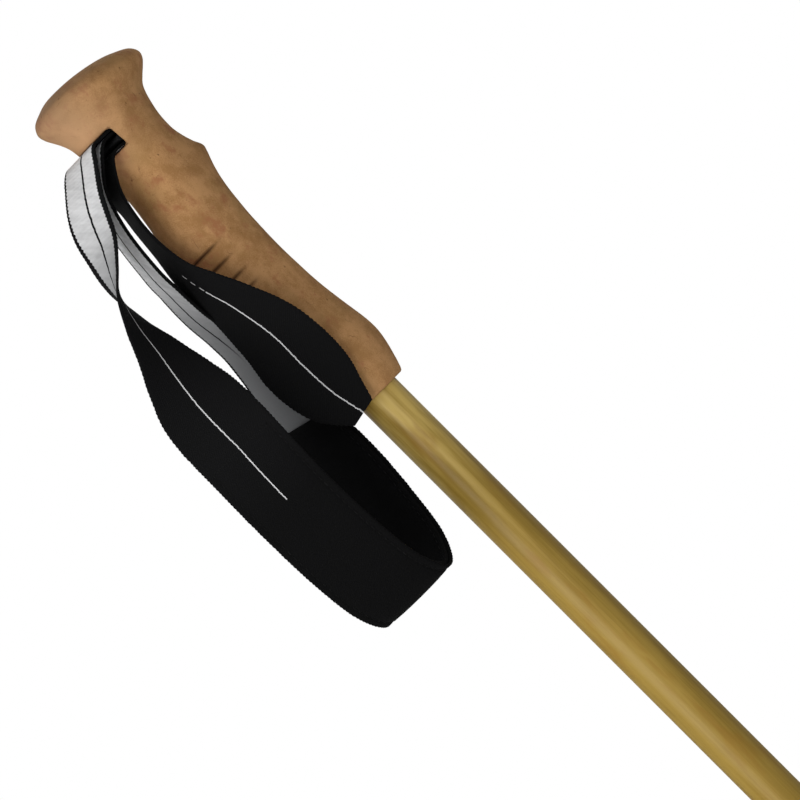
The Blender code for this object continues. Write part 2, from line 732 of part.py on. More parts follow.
def make_collar(maker, name, outer_tube, inner_tube, ear_end, screw_x, under):
    """The split clamp collar: two shoulders, a waist for the lever, ears and the slits that let it close."""
    bore = outer_tube + SEAT_GAP
    guide = inner_tube + SEAT_GAP
    waist = bore + COLLAR_WALL
    rim = waist + SHOULDER
    top = LOCK_HEIGHT / 2
    zone = LEVER_HEIGHT / 2 + LEVER_SIDE_GAP
    collar = maker.turned(
        name,
        (
            (bore + COLLAR_WALL / 2, top),
            (rim, top - SHOULDER_TAPER),
            (rim, zone + SHOULDER / 2),
            (waist, zone),
            (waist, -zone),
            (rim, -zone - SHOULDER / 2),
            (rim, -top + SHOULDER_TAPER),
            (guide + COLLAR_WALL, -top),
            (guide, -top),
            (guide, -top + LOCK_LIP),
            (bore, -top + LOCK_LIP),
            (bore, top),
        ),
        "black_plastic",
        under=under,
    )
    side = COLLAR_SLIT / 2 + EAR_THICKNESS
    ears = maker.block(
        name + "_ears",
        (-ear_end, -side, -LEVER_HEIGHT / 2),
        (-bore - COLLAR_WALL / 4, side, LEVER_HEIGHT / 2),
        at=(0, 0, 0),
        under=under,
    )
    soften(ears, EAR_ROUNDING / 3, 2)
    combine(collar, ears, "UNION")
    slit = maker.block(
        name + "_slit",
        (-2 * ear_end, -COLLAR_SLIT / 2, -LOCK_HEIGHT),
        (0, COLLAR_SLIT / 2, zone),
        under=under,
    )
    combine(collar, slit)
    relief = maker.block(
        name + "_relief",
        (-2 * rim, -2 * rim, zone + SHOULDER / 2),
        (-inner_tube / 2, 2 * rim, zone + SHOULDER / 2 + RELIEF_HEIGHT),
        under=under,
    )
    combine(collar, relief)
    hole = maker.rod(
        name + "_screw_hole",
        SCREW_RADIUS + SEAT_GAP,
        4 * side,
        at=(screw_x, 0, 0),
        under=under,
        along="Y",
    )
    combine(collar, hole)


def make_lock(maker, prefix, outer_tube, inner_tube, height, under):
    """One lever lock round the end of a tube: collar, cam lever on its barrel, screw, washer and dial."""
    waist = outer_tube + SEAT_GAP + COLLAR_WALL
    ear_face = COLLAR_SLIT / 2 + EAR_THICKNESS
    dial_inner = ear_face + SEAT_GAP + WASHER_THICKNESS + SEAT_GAP
    free = max(waist / 2, math.sqrt(max(0.0, (waist + 2 * SEAT_GAP) ** 2 - dial_inner**2)))
    screw_x = -(free + DIAL_RADIUS)
    ear_end = -screw_x + EAR_MARGIN
    pivot = (screw_x, ear_face + SEAT_GAP + CAM_RADIUS + CAM_OFFSET)
    base = maker.joint_frame(prefix + "_lock", (0, 0, height), under)
    make_collar(maker, prefix + "_lock_collar", outer_tube, inner_tube, ear_end, screw_x, base)

    barrel = maker.rod(
        prefix + "_lock_barrel",
        BARREL_RADIUS,
        LEVER_HEIGHT,
        "steel",
        at=(*pivot, 0),
        under=base,
    )
    thread = maker.rod(
        prefix + "_barrel_hole",
        SCREW_RADIUS + SEAT_GAP,
        4 * BARREL_RADIUS,
        at=(*pivot, 0),
        under=base,
        along="Y",
    )
    combine(barrel, thread)

    hinge = maker.joint_frame(prefix + "_lever_hinge", (*pivot, 0), base)
    outline = [(x - pivot[0], y - pivot[1]) for x, y in lever_outline(pivot, waist + LEVER_LIFT)]
    lever = maker.plate(
        prefix + "_lock_lever", outline, LEVER_HEIGHT, "grey_plastic", under=hinge
    )
    soften(lever, LEVER_THICKNESS / 6, 2, 50)
    fork = maker.block(
        prefix + "_lever_fork",
        (-3 * CAM_RADIUS, -3 * CAM_RADIUS, -FORK_HALF_HEIGHT),
        (BARREL_RADIUS + 3 * SEAT_GAP, 3 * CAM_RADIUS, FORK_HALF_HEIGHT),
        under=hinge,
    )
    combine(lever, fork)
    pin_hole = maker.rod(
        prefix + "_lever_hole", BARREL_RADIUS + SEAT_GAP, 2 * LEVER_HEIGHT, under=hinge
    )
    combine(lever, pin_hole)

    washer_middle = ear_face + SEAT_GAP + WASHER_THICKNESS / 2
    washer = maker.rod(
        prefix + "_lock_washer",
        WASHER_RADIUS,
        WASHER_THICKNESS,
        "steel",
        at=(screw_x, -washer_middle, 0),
        under=base,
        along="Y",
    )
    washer_hole = maker.rod(
        prefix + "_washer_hole",
        SCREW_RADIUS + SEAT_GAP,
        4 * WASHER_THICKNESS,
        at=(screw_x, -washer_middle, 0),
        under=base,
        along="Y",
    )
    combine(washer, washer_hole)
    make_dial(maker, prefix, screw_x, dial_inner, pivot[1] + BARREL_RADIUS, base)


def make_dial(maker, prefix, screw_x, inner, screw_end, base):
    """The tension screw and its fluted dial, which turn together about a line along Y."""
    axle = maker.joint_frame(prefix + "_dial_turn", (screw_x, 0, 0), base)
    flutes = []
    for k in range(4 * DIAL_FLUTES):
        a = 2 * math.pi * k / (4 * DIAL_FLUTES)
        r = DIAL_RADIUS - DIAL_FLUTE_DEEP * (0.5 - 0.5 * math.cos(DIAL_FLUTES * a))
        flutes.append((r * math.cos(a), r * math.sin(a)))
    middle = inner + DIAL_THICKNESS / 2
    dial = maker.plate(
        prefix + "_lock_dial",
        flutes,
        DIAL_THICKNESS,
        "grey_plastic",
        at=(0, -middle, 0),
        under=axle,
        upright=True,
    )
    outer = inner + DIAL_THICKNESS
    seat = outer - SCREW_HEAD_HEIGHT - SEAT_GAP
    through = maker.rod(
        prefix + "_dial_hole",
        SCREW_RADIUS + SEAT_GAP,
        3 * DIAL_THICKNESS,
        at=(0, -middle, 0),
        under=axle,
        along="Y",
    )
    combine(dial, through)
    sink = maker.rod(
        prefix + "_dial_sink",
        SCREW_HEAD_RADIUS + SEAT_GAP,
        2 * SCREW_HEAD_HEIGHT + 2 * SEAT_GAP,
        at=(0, -outer, 0),
        under=axle,
        along="Y",
    )
    combine(dial, sink)

    head = outer - SCREW_HEAD_HEIGHT
    screw = maker.rod(
        prefix + "_lock_screw",
        SCREW_RADIUS,
        screw_end + head,
        "steel",
        at=(0, (screw_end - head) / 2, 0),
        under=axle,
        along="Y",
    )
    cap = maker.rod(
        prefix + "_screw_head",
        SCREW_HEAD_RADIUS,
        SCREW_HEAD_HEIGHT,
        at=(0, -head - SCREW_HEAD_HEIGHT / 2, 0),
        under=axle,
        along="Y",
    )
    combine(screw, cap, "UNION")
    socket = maker.rod(
        prefix + "_screw_socket",
        SCREW_SOCKET_RADIUS,
        2 * SCREW_SOCKET_DEPTH,
        at=(0, -outer, 0),
        under=axle,
        along="Y",
        sides=6,
    )
    combine(screw, socket)


def make_tip(maker, under):
    """The tapered plastic tip on the lower tube: socket, basket seat, stem and carbide point."""
    socket = LOWER_RADIUS + SEAT_GAP
    seat = socket + TIP_WALL
    flange = seat + BASKET_HUB_WALL
    hub_top = TIP_TOP_Z - BASKET_BELOW_TIP_TOP
    hub_end = hub_top - BASKET_HUB_HEIGHT - 2 * SEAT_GAP
    stem_top = TIP_END_Z + TIP_STEM_LENGTH
    floor = TIP_TOP_Z - TIP_SOCKET
    tip = maker.turned(
        "tip_body",
        (
            (socket + TIP_WALL / 2, TIP_TOP_Z),
            (seat + TIP_WALL / 3, TIP_TOP_Z - TIP_WALL),
            (seat + TIP_WALL / 3, TIP_TOP_Z - 5 * TIP_WALL),
            (seat - TIP_WALL / 4, TIP_TOP_Z - 6 * TIP_WALL),
            (seat - TIP_WALL / 4, hub_top + 3 * TIP_WALL),
            (flange, hub_top + 2 * TIP_WALL),
            (flange, hub_top),
            (seat, hub_top),
            (seat, hub_end),
            (TIP_STEM_RADIUS + (seat - TIP_STEM_RADIUS) / 3, (hub_end + stem_top) / 2),
            (TIP_STEM_RADIUS, stem_top),
            (0.92 * TIP_STEM_RADIUS, TIP_END_Z + TIP_WALL),
            (0.92 * TIP_STEM_RADIUS - TIP_WALL / 2, TIP_END_Z),
            (CARBIDE_RADIUS + SEAT_GAP, TIP_END_Z),
            (CARBIDE_RADIUS + SEAT_GAP, TIP_END_Z + CARBIDE_IN + SEAT_GAP),
            (0, TIP_END_Z + CARBIDE_IN + SEAT_GAP),
            (0, floor),
            (socket, floor),
            (socket, TIP_TOP_Z),
        ),
        "black_plastic",
        under=under,
    )
    point = maker.turned(
        "carbide_tip",
        (
            (0, TIP_END_Z + CARBIDE_IN),
            (CARBIDE_RADIUS, TIP_END_Z + CARBIDE_IN),
            (CARBIDE_RADIUS, TIP_END_Z - CARBIDE_OUT + CARBIDE_RADIUS / 2),
            (0.8 * CARBIDE_RADIUS, TIP_END_Z - CARBIDE_OUT),
            (0.5 * CARBIDE_RADIUS, TIP_END_Z - CARBIDE_OUT),
            (0, TIP_END_Z - CARBIDE_OUT + CARBIDE_RADIUS / 2),
        ),
        "carbide",
        under=under,
        sides=24,
        closed=False,
    )
    for k in range(CARBIDE_FLUTES):
        a = 2 * math.pi * k / CARBIDE_FLUTES
        spot = (1.25 * CARBIDE_RADIUS * math.cos(a), 1.25 * CARBIDE_RADIUS * math.sin(a))
        flute = maker.rod(
            f"carbide_flute_{k}",
            0.5 * CARBIDE_RADIUS,
            CARBIDE_OUT,
            at=(*spot, TIP_END_Z - CARBIDE_OUT),
            under=under,
            sides=8,
        )
        combine(point, flute)
    return tip


def make_basket(maker, under):
    """The notched disc that keeps the tip from sinking into soft ground."""
    bore = LOWER_RADIUS + 2 * SEAT_GAP + TIP_WALL
    hub = bore + BASKET_HUB_WALL
    top = TIP_TOP_Z - BASKET_BELOW_TIP_TOP - SEAT_GAP
    end = top - BASKET_HUB_HEIGHT
    web = top - BASKET_HUB_HEIGHT / 3
    rim = web - BASKET_DROOP
    half = BASKET_THICKNESS / 2
    middle = (hub + BASKET_RADIUS) / 2
    basket = maker.turned(
        "basket",
        (
            (hub - BASKET_RIM / 2, top),
            (hub, top - BASKET_RIM / 2),
            (hub, web + half),
            (middle, web - BASKET_DROOP / 4 + half),
            (BASKET_RADIUS - BASKET_RIM, rim + half + BASKET_RIM / 2),
            (BASKET_RADIUS, rim + half),
            (BASKET_RADIUS, rim - half),
            (BASKET_RADIUS - BASKET_RIM, rim - half - BASKET_RIM / 2),
            (middle, web - BASKET_DROOP / 4 - half),
            (hub, web - half),
            (hub - BASKET_RIM / 2, end),
            (bore, end),
            (bore, top),
        ),
        "black_plastic",
        under=under,
        sides=36,
    )
    window_out = (hub + BASKET_RADIUS - 2 * BASKET_RIM) / 2
    for k in range(BASKET_NOTCHES):
        a = 2 * math.pi * k / BASKET_NOTCHES
        notch = maker.rod(
            f"basket_notch_{k}",
            BASKET_NOTCH_RADIUS,
            6 * BASKET_HUB_HEIGHT,
            at=(BASKET_RADIUS * math.cos(a), BASKET_RADIUS * math.sin(a), rim),
            under=under,
            sides=14,
        )
        combine(basket, notch)
        b = a + math.pi / BASKET_NOTCHES
        window = maker.rod(
            f"basket_window_{k}",
            min(BASKET_WINDOW_RADIUS, 0.4 * (BASKET_RADIUS - hub)),
            6 * BASKET_HUB_HEIGHT,
            at=(window_out * math.cos(b), window_out * math.sin(b), rim),
            under=under,
            sides=12,
        )
        combine(basket, window)


def make_foot(maker, under):
    """The rubber foot that pulls over the tip, with the steel disc that the point stands on."""
    bore = TIP_STEM_RADIUS + SEAT_GAP
    neck = bore + FOOT_WALL
    top = FOOT_Z + FOOT_HEIGHT
    floor = FOOT_Z + FOOT_SOLE
    ring_in = TREAD_PAD_RADIUS
    ring_out = TREAD_PAD_RADIUS + TREAD_RING
    foot = maker.turned(
        "rubber_foot",
        (
            (neck - FOOT_WALL / 4, top),
            (neck + FOOT_WALL / 6, top - FOOT_WALL / 3),
            (neck + FOOT_WALL / 6, top - 1.2 * FOOT_WALL),
            (neck - FOOT_WALL / 5, top - 1.5 * FOOT_WALL),
            (neck - FOOT_WALL / 5, top - 2.2 * FOOT_WALL),
            (neck + FOOT_WALL / 6, top - 2.5 * FOOT_WALL),
            (neck + FOOT_WALL / 6, top - 3.4 * FOOT_WALL),
            (neck - FOOT_WALL / 5, top - 3.8 * FOOT_WALL),
            (neck - FOOT_WALL / 8, FOOT_Z + 0.46 * FOOT_HEIGHT),
            ((neck + FOOT_RADIUS) / 2, FOOT_Z + 0.27 * FOOT_HEIGHT),
            (0.97 * FOOT_RADIUS, FOOT_Z + 0.16 * FOOT_HEIGHT),
            (FOOT_RADIUS, FOOT_Z + 0.10 * FOOT_HEIGHT),
            (FOOT_RADIUS, FOOT_Z),
            (ring_out, FOOT_Z),
            (ring_out, FOOT_Z + TREAD_DEPTH),
            (ring_in, FOOT_Z + TREAD_DEPTH),
            (ring_in, FOOT_Z),
            (0, FOOT_Z),
            (0, floor),
            (bore, floor),
            (bore, top),
        ),
        "rubber",
        under=under,
    )
    for k in range(FOOT_TREADS):
        tread = maker.block(
            f"tread_gap_{k}",
            ((ring_in + ring_out) / 2, -TREAD_GAP / 2, -TREAD_DEPTH),
            (2 * FOOT_RADIUS, TREAD_GAP / 2, TREAD_DEPTH),
            at=(0, 0, FOOT_Z),
            under=under,
        )
        tread.rotation_euler = (0, 0, 2 * math.pi * k / FOOT_TREADS)
        combine(foot, tread)
    maker.rod(
        "foot_disc",
        TIP_STEM_RADIUS,
        FOOT_WASHER,
        "steel",
        at=(0, 0, floor + SEAT_GAP + FOOT_WASHER / 2),
        under=under,
    )


def main():
    empty_the_scene()
    maker = Maker()
    upper = maker.joint_frame("upper_section")
    middle = maker.joint_frame("middle_slide", under=upper)
    lower = maker.joint_frame("lower_slide", under=middle)
    foot = maker.joint_frame("foot_slide", under=lower)
    make_grip(maker, upper)
    make_strap_housing(maker, upper)
    make_wedge(maker, upper)
    make_strap(maker, upper)
    make_tube(maker, "upper_shaft", UPPER_RADIUS, UPPER_TOP_Z, UPPER_END_Z, "bamboo_lacquer", upper)
    make_lock(maker, "upper", UPPER_RADIUS, MIDDLE_RADIUS, UPPER_LOCK_Z, upper)
    make_tube(maker, "middle_shaft", MIDDLE_RADIUS, MIDDLE_TOP_Z, MIDDLE_END_Z, "anodised", middle)
    make_guide(maker, "middle_guide", MIDDLE_RADIUS, MIDDLE_TOP_Z, middle)
    make_lock(maker, "lower", MIDDLE_RADIUS, LOWER_RADIUS, LOWER_LOCK_Z, middle)
    make_tube(maker, "lower_shaft", LOWER_RADIUS, LOWER_TOP_Z, LOWER_END_Z, "anodised", lower, False)
    make_guide(maker, "lower_guide", LOWER_RADIUS, LOWER_TOP_Z, lower)
    make_tip(maker, lower)
    make_basket(maker, lower)
    make_foot(maker, foot)
    bpy.context.view_layer.update()
    for item in maker.parts.objects:
        if item.type == "MESH":
            settle(item)


main()
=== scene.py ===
"""Telescopic walking stick: cork grip, woven wrist strap, sliding tubes, lever locks and rubber foot.

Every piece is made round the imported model, in metres, with +Z up the shaft and -X at the palm's side.
"""

import math

import bmesh
import bpy
import numpy as np
from mathutils import Matrix, Vector, noise


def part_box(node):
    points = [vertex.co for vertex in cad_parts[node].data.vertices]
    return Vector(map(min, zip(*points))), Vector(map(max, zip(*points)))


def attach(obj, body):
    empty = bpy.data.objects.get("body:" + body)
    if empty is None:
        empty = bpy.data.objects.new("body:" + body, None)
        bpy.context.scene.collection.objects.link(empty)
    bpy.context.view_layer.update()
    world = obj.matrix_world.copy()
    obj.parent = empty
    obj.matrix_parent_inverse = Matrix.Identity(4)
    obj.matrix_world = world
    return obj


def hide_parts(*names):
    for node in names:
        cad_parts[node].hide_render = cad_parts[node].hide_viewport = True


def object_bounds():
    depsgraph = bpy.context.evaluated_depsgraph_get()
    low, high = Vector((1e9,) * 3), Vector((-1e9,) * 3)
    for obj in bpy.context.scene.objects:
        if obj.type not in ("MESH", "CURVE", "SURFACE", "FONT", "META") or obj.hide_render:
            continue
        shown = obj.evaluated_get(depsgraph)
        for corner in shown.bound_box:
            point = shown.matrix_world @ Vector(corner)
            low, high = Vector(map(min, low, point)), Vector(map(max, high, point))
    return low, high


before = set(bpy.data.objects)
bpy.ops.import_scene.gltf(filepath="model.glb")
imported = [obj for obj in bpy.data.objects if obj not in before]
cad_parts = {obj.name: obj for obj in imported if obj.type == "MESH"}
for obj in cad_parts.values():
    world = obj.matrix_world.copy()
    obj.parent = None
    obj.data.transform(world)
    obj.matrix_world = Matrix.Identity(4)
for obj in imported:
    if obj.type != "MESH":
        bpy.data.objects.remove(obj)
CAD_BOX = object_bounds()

bl_info = {
    "name": "Telescopic walking stick",
    "version": (1, 0, 0),
    "blender": (4, 5, 0),
    "location": "View3D > Sidebar > Stick",
    "description": "Builds a telescopic walking stick with a cork grip and a woven wrist strap",
    "category": "Add Mesh",
}

# The grip, with its depths below the crown. The palm grooves spread so far to each side of the rear
NECK_HALF_WIDTH = 0.0155
CROWN_Z = 0.090
HEAD_DEPTH = 0.048
HEAD_TILT = 0.096
GRIP_ROUNDNESS = 2.15
GRIP_SIDES = 184
GROOVE_DEPTHS = (0.0845, 0.0915, 0.0988, 0.1052)
GROOVE_HALF_WIDTH = 0.00095
GROOVE_SPREAD = math.radians(48)
# Its sections: depth, reach to the front, reach to the rear, share of the neck's half width
GRIP_TOP = (
    (0.00028, 0.0016, 0.0011, 0.0010 / NECK_HALF_WIDTH),
    (0.00035, 0.0040, 0.0027, 0.0026 / NECK_HALF_WIDTH),
)
GRIP_SECTIONS = (
    (0.0005, 0.0075, 0.0050, 0.31),
    (0.0012, 0.0182, 0.0124, 0.70),
    (0.0030, 0.0259, 0.0175, 0.98),
    (0.0052, 0.0310, 0.0215, 1.20),
    (0.0085, 0.0330, 0.0232, 1.32),
    (0.0115, 0.0322, 0.0224, 1.29),
    (0.0142, 0.0296, 0.0209, 1.20),
    (0.0170, 0.0262, 0.0194, 1.10),
    (0.0205, 0.0224, 0.0179, 1.03),
    (0.0260, 0.0194, 0.0170, 1.00),
    (0.0330, 0.0173, 0.0165, 0.97),
    (0.0400, 0.0170, 0.0160, 0.95),
    (0.0450, 0.0183, 0.0157, 0.95),
    (0.0495, 0.0207, 0.0159, 0.94),
    (0.0535, 0.0236, 0.0166, 0.94),
    (0.0565, 0.0227, 0.0174, 0.94),
    (0.0620, 0.0195, 0.0191, 0.93),
    (0.0690, 0.0166, 0.0209, 0.92),
    (0.0770, 0.0147, 0.0213, 0.90),
    (0.0880, 0.0136, 0.0204, 0.86),
    (0.1000, 0.0132, 0.0189, 0.84),
    (0.1120, 0.0136, 0.0175, 0.84),
    (0.1240, 0.0145, 0.0168, 0.87),
    (0.1340, 0.0162, 0.0171, 0.92),
    (0.1430, 0.0178, 0.0180, 0.98),
    (0.1500, 0.0182, 0.0185, 1.01),
    (0.1560, 0.0172, 0.0178, 0.98),
    (0.1630, 0.0150, 0.0158, 0.90),
    (0.1680, 0.0132, 0.0138, 0.81),
    (0.1689, 0.0122, 0.0127, 0.75),
)

# The room in the head for the strap's fittings, the slot that opens to it and the shaft's bore
SLOT_HALF_WIDTH = 0.0111
SLOT_FLOOR_Z = 0.056425
SLOT_TOP_Z = 0.065975
SLOT_CORNER = 0.0018
SLOT_INNER_X = -0.0073
SLOT_OUTER_X = -0.06
ROOM_DROP = 0.0028
BORE_TOP_Z = 0.0540
BORE_END_Z = -0.1
LIP_RADIUS = 0.0007
# How far the painted shade at the slot's edge reaches
MOUTH_EDGE = 0.0006
MOUTH_SIDE_X = -0.005
FIT = 0.0003
# The cork's skin: its slow waves and its pores, with how far each pore reaches into its cell and
# the random value above which a cell has one
WAVE_HEIGHT = 0.00010
WAVES_PER_METRE = 120
PORES_PER_METRE = 420
PORE_REACH = 0.34
PORE_FROM = 0.55

# The strap in the head: its narrow width, the eye round the pin, the turn round the wedge and the mouth
STRAP_NARROW = 0.0216
EYE_RADIUS = 0.0027
TURN_RADIUS = 0.0028
TURN_X = -0.0035
BEND_POINTS = 8
MOUTH_X = -0.0178
# The loop and the free end: x, y and depth below the crown (mm), turn of the width from +X (degrees)
# and width (mm)
LOOP_STATIONS = (
    (-24.4, 0.0, 25.5, 94, 22),
    (-31.2, 0.0, 31.0, 100, 22),
    (-39.8, 0.0, 39.3, 103, 22),
    (-45.6, 0.0, 47.2, 102, 22),
    (-50.0, 0.2, 55.6, 92, 22),
    (-56.2, 0.8, 65.8, 69, 22),
    (-60.9, 1.4, 75.5, 43, 22.5),
    (-64.0, 1.8, 87, 23, 23.5),
    (-66.0, 1.6, 99, 2, 25.5),
    (-68.0, 2.2, 112, -22, 29.5),
    (-69.4, 2.9, 126, -46, 34.5),
    (-69.7, 3.3, 145, -64, 38),
    (-69.9, 4.1, 175, -70, 38.8),
    (-67.2, 5.7, 203, -70, 38.8),
    (-60.0, 9.1, 224, -70, 38.8),
    (-46.7, 14.1, 234, -70, 38.8),
    (-32.9, 19.4, 224, -70, 38.8),
    (-25.9, 22.2, 205, -70, 38.8),
    (-22.6, 22.8, 182, -70, 38.5),
    (-22.0, 22.0, 162, -77, 36.5),
    (-22.0, 18.1, 142, -102, 30),
    (-22.0, 15.5, 124, -104, 25),
    (-23.4, 15.2, 112, -109, 23.5),
    (-26.3, 14.6, 100, -113, 22.5),
    (-30.4, 10.8, 87, -116, 22),
    (-33.2, 7.8, 75, -117, 22),
    (-33.1, 4.8, 57, -117, 22),
    (-28.6, 2.8, 41.5, -115, 22),
    (-23.2, 0.6, 31.0, -98, 22),
)
TAIL_STATIONS = (
    (-21.1, 0.1, 34.3, -92, 22),
    (-23.9, 0.0, 41, -108, 22),
    (-25.9, -0.3, 49, -122, 22),
    (-28.7, -0.6, 60, -124, 22),
    (-30.2, -1.0, 72, -121, 22),
    (-30.7, -1.7, 84, -110, 22.5),
    (-30.0, -3.8, 95, -95, 24.5),
    (-27.8, -6.0, 106.5, -82, 26),
    (-25.2, -7.4, 124.5, -58, 29.5),
    (-24.7, -6.8, 141, -45, 32),
    (-23.8, -7.0, 156, -41, 27.5),
    (-21.6, -8.9, 170, -40, 13),
)
# The black edges of the strap's white face: station of the loop, left edge, right edge (mm)
SELVEDGES = (
    (0, 1.6, 1.9),
    (2, 1.6, 2.2),
    (3, 2.0, 2.1),
    (4, 2.6, 1.9),
    (5, 4.2, 1.5),
    (6, 6.5, 1.0),
    (8, 1.6, 1.6),
)
# The same edges where the band has turned back
RETURNING_EDGES = (0.0018, 0.0017)
# The webbing's columns of points beside each edge, and how far its parts stand out or sink in
WEBBING_COLUMNS = (0.0022, 0.0028, 0.0032, 0.0036, 0.0042)
EDGE_LOOP = 0.00012
RIB_HEIGHT = 0.00001
SEAM_DEPTH = 0.00045
SEAM_HALF_WIDTH = 0.00055
PUFF_HEIGHT = 0.0006
# The lengths over which the seams and the padding between them begin at each end
SEAM_RUN_IN = 0.003
PUFF_RUN_IN = 0.012
# The lining's first and last station of the loop, its overrun, and how it lies on the webbing
PAD_FIRST_STATION = 11
PAD_LAST_STATION = 19
PAD_OVERRUN = 0.006
PAD_COLUMNS = (0.0007, 0.0012, 0.0017, 0.0022, 0.0030)
PAD_GAP = 0.00008
PAD_HALF = 0.0010
PAD_MARGIN = 0.0011
PAD_END_SHARE = 0.30
PAD_END_LENGTH = 0.00245
PAD_SEAM_DEPTH = 0.0006
PAD_SEAM_HALF_WIDTH = 0.0007
PAD_PUFF = 0.0005
PAD_ROW_STEP = 4
SEAM_INSET = 0.0032
SEAM_SINK = 0.0003
STITCH_PITCH = 0.0030
STITCH_LENGTH = 0.0022
ZIGZAG_INSET = 0.0022
ZIGZAG_PITCH = 0.0011
ZIGZAG_MARGIN = 0.0006
ZIGZAG_ALONG = 0.84
ZIGZAG_ACROSS = 0.54
ZIGZAG_LIFT = 0.00005
ZIGZAG_SINK = 0.00036
THREAD = 0.00042
# How grey the reverse is along the strand back from the lining, partly a greyer weave and partly
# painted shade between the strands: distance (mm), share of grey
GREYING = ((0, 1), (32, 0.98), (50, 0.92), (63, 0.84), (77, 0.66), (90, 0.34), (108, 0.04), (130, 0))
# Painted shade: how grey the near strand's reverse is at some rows of the table of black edges
NEAR_PAINTED_SHADE = {1: 0.14, 3: 0.54, 5: 0.80, 6: 0.50}
# The white line stops before a station of the loop and comes again, broken at first, on the free end
LINE_LAST_STATION = 12
LINE_STOPS_BEFORE = 0.0023
LINE_AGAIN_STATION = 5
LINE_DASH = 0.0040
# How far the centre line lies off the middle, at the head and on the returning strand
LINE_OFF_AT_HEAD = -0.0016
LINE_OFF_RETURNING = -0.0009

# The tubes, and the slit where a clamp closes on one
TUBE_WALL = 0.00075
TUBE_RIM_RADIUS = 0.0003
TUBE_SIDES = 128
SLIT_WIDTH = 0.0018
SLIT_LENGTH = 0.030
# How far the block that cuts the slit reaches from the axis, and past the tube's end
SLIT_CUT_REACH = 0.03
SLIT_CUT_PAST = 0.003
# The stick's length with both tubes in, and how far each slides out (cm)
CLOSED = 66.0
MIDDLE_REACH = 33.5
LOWER_REACH = 35.5
LONGEST = round(CLOSED + MIDDLE_REACH + LOWER_REACH)
# Each scale: the lock at whose lower edge it is read, the least length read there with the other
# tube out, and the tube's own reach (cm)
SCALES = {
    "middle": ("upper_lock_collar", CLOSED + LOWER_REACH, MIDDLE_REACH),
    "lower": ("lower_lock_collar", CLOSED + MIDDLE_REACH, LOWER_REACH),
}
MARK_TURN = math.radians(225)
MARK_STEP = 5
# The half length and the line's width of a stroke, and how the numerals and the last ring are drawn
SHORT_STROKE = (0.0018, 0.0003)
LONG_STROKE = (0.0042, 0.00045)
NUMERAL_GRID = (0.00058, 0.00062)
NUMERAL_PITCH = 0.0030
NUMERAL_INSET = 0.0003
NUMERAL_LIFT = 0.0009
NUMERAL_LINE = 0.00048
RING_LIFT = 0.0062
RING_WIDTH = 0.0009
RING_SHARE = 0.999
INK_THICKNESS = 0.00004
INK_STEP = 0.0004
NUMERAL_STEP = 0.0003
MERGE_DISTANCE = 1e-7

# The photograph's middle on the stick, and its roll
VIEW_MIDDLE = Vector((0.00298, -0.00298, -0.0864))
VIEW_ROLL = math.radians(-45)
# Lamps: place to the picture's side, up it and towards the camera, size, share of the key light
LAMPS = {
    "key_light": ((-0.86, -0.05, 1.25), 1.2, 1.0),
    "front_light": ((0.50, 0.20, 1.50), 0.4, 0.16),
    "back_light": ((0.0, 0.80, -1.40), 1.4, 0.30),
}
# The camera's film (mm) and how far it sees, and the floor's rings
FILM_WIDTH = 36.0
FAR_END = 100.0
FLOOR_RADII = (0.05, 60.0)
FLOOR_RINGS = 24
FLOOR_SIDES = 48


class GripSettings(bpy.types.PropertyGroup):
    """Sizes and colours of the cork grip."""

    spacing: bpy.props.FloatProperty(
        name="Surface step", description="Distance between the grip's points",
        default=0.00058, unit="LENGTH",
    )
    groove_depth: bpy.props.FloatProperty(
        name="Groove depth", description="How deep the palm grooves are cut",
        default=0.0010, unit="LENGTH",
    )
    pit_depth: bpy.props.FloatProperty(
        name="Pit depth", description="Depth of the pores in the cork",
        default=0.00022, unit="LENGTH",
    )
    light: bpy.props.FloatVectorProperty(
        name="Light cork", description="Colour of the palest cork",
        default=(0.485, 0.266, 0.114), subtype="COLOR",
    )
    dark: bpy.props.FloatVectorProperty(
        name="Dark cork", description="Colour of the browner patches",
        default=(0.322, 0.165, 0.063), subtype="COLOR",
    )
    fleck: bpy.props.FloatVectorProperty(
        name="Flecks", description="Colour of the bark flecks and pores",
        default=(0.085, 0.040, 0.018), subtype="COLOR",
    )


class StrapSettings(bpy.types.PropertyGroup):
    """Sizes and colours of the woven strap and its lining."""

    thickness: bpy.props.FloatProperty(
        name="Webbing thickness", description="Thickness of the woven band",
        default=0.00118, unit="LENGTH",
    )
    rib: bpy.props.FloatProperty(
        name="Rib pitch", description="Distance between the weft ribs",
        default=0.0016, unit="LENGTH",
    )
    step: bpy.props.FloatProperty(
        name="Row step", description="Distance between the band's rows of points",
        default=0.00028, unit="LENGTH",
    )
    black: bpy.props.FloatVectorProperty(
        name="Black yarn", description="Colour of the outer face",
        default=(0.0031, 0.0031, 0.0033), subtype="COLOR",
    )
    white: bpy.props.FloatVectorProperty(
        name="White yarn", description="Colour of the reverse and of the centre line",
        default=(0.84, 0.84, 0.845), subtype="COLOR",
    )
    lining: bpy.props.FloatVectorProperty(
        name="Lining", description="Colour of the brushed lining",
        default=(0.0015, 0.0015, 0.0016), subtype="COLOR",
    )


class TubeSettings(bpy.types.PropertyGroup):
    """Colours of the three tubes."""

    gold: bpy.props.FloatVectorProperty(
        name="Light lacquer", description="Colour of the paler grain",
        default=(0.318, 0.208, 0.040), subtype="COLOR",
    )
    amber: bpy.props.FloatVectorProperty(
        name="Dark lacquer", description="Colour of the darker grain",
        default=(0.230, 0.143, 0.021), subtype="COLOR",
    )
    metal: bpy.props.FloatVectorProperty(
        name="Anodised metal", description="Colour of the inner tubes",
        default=(0.56, 0.55, 0.53), subtype="COLOR",
    )


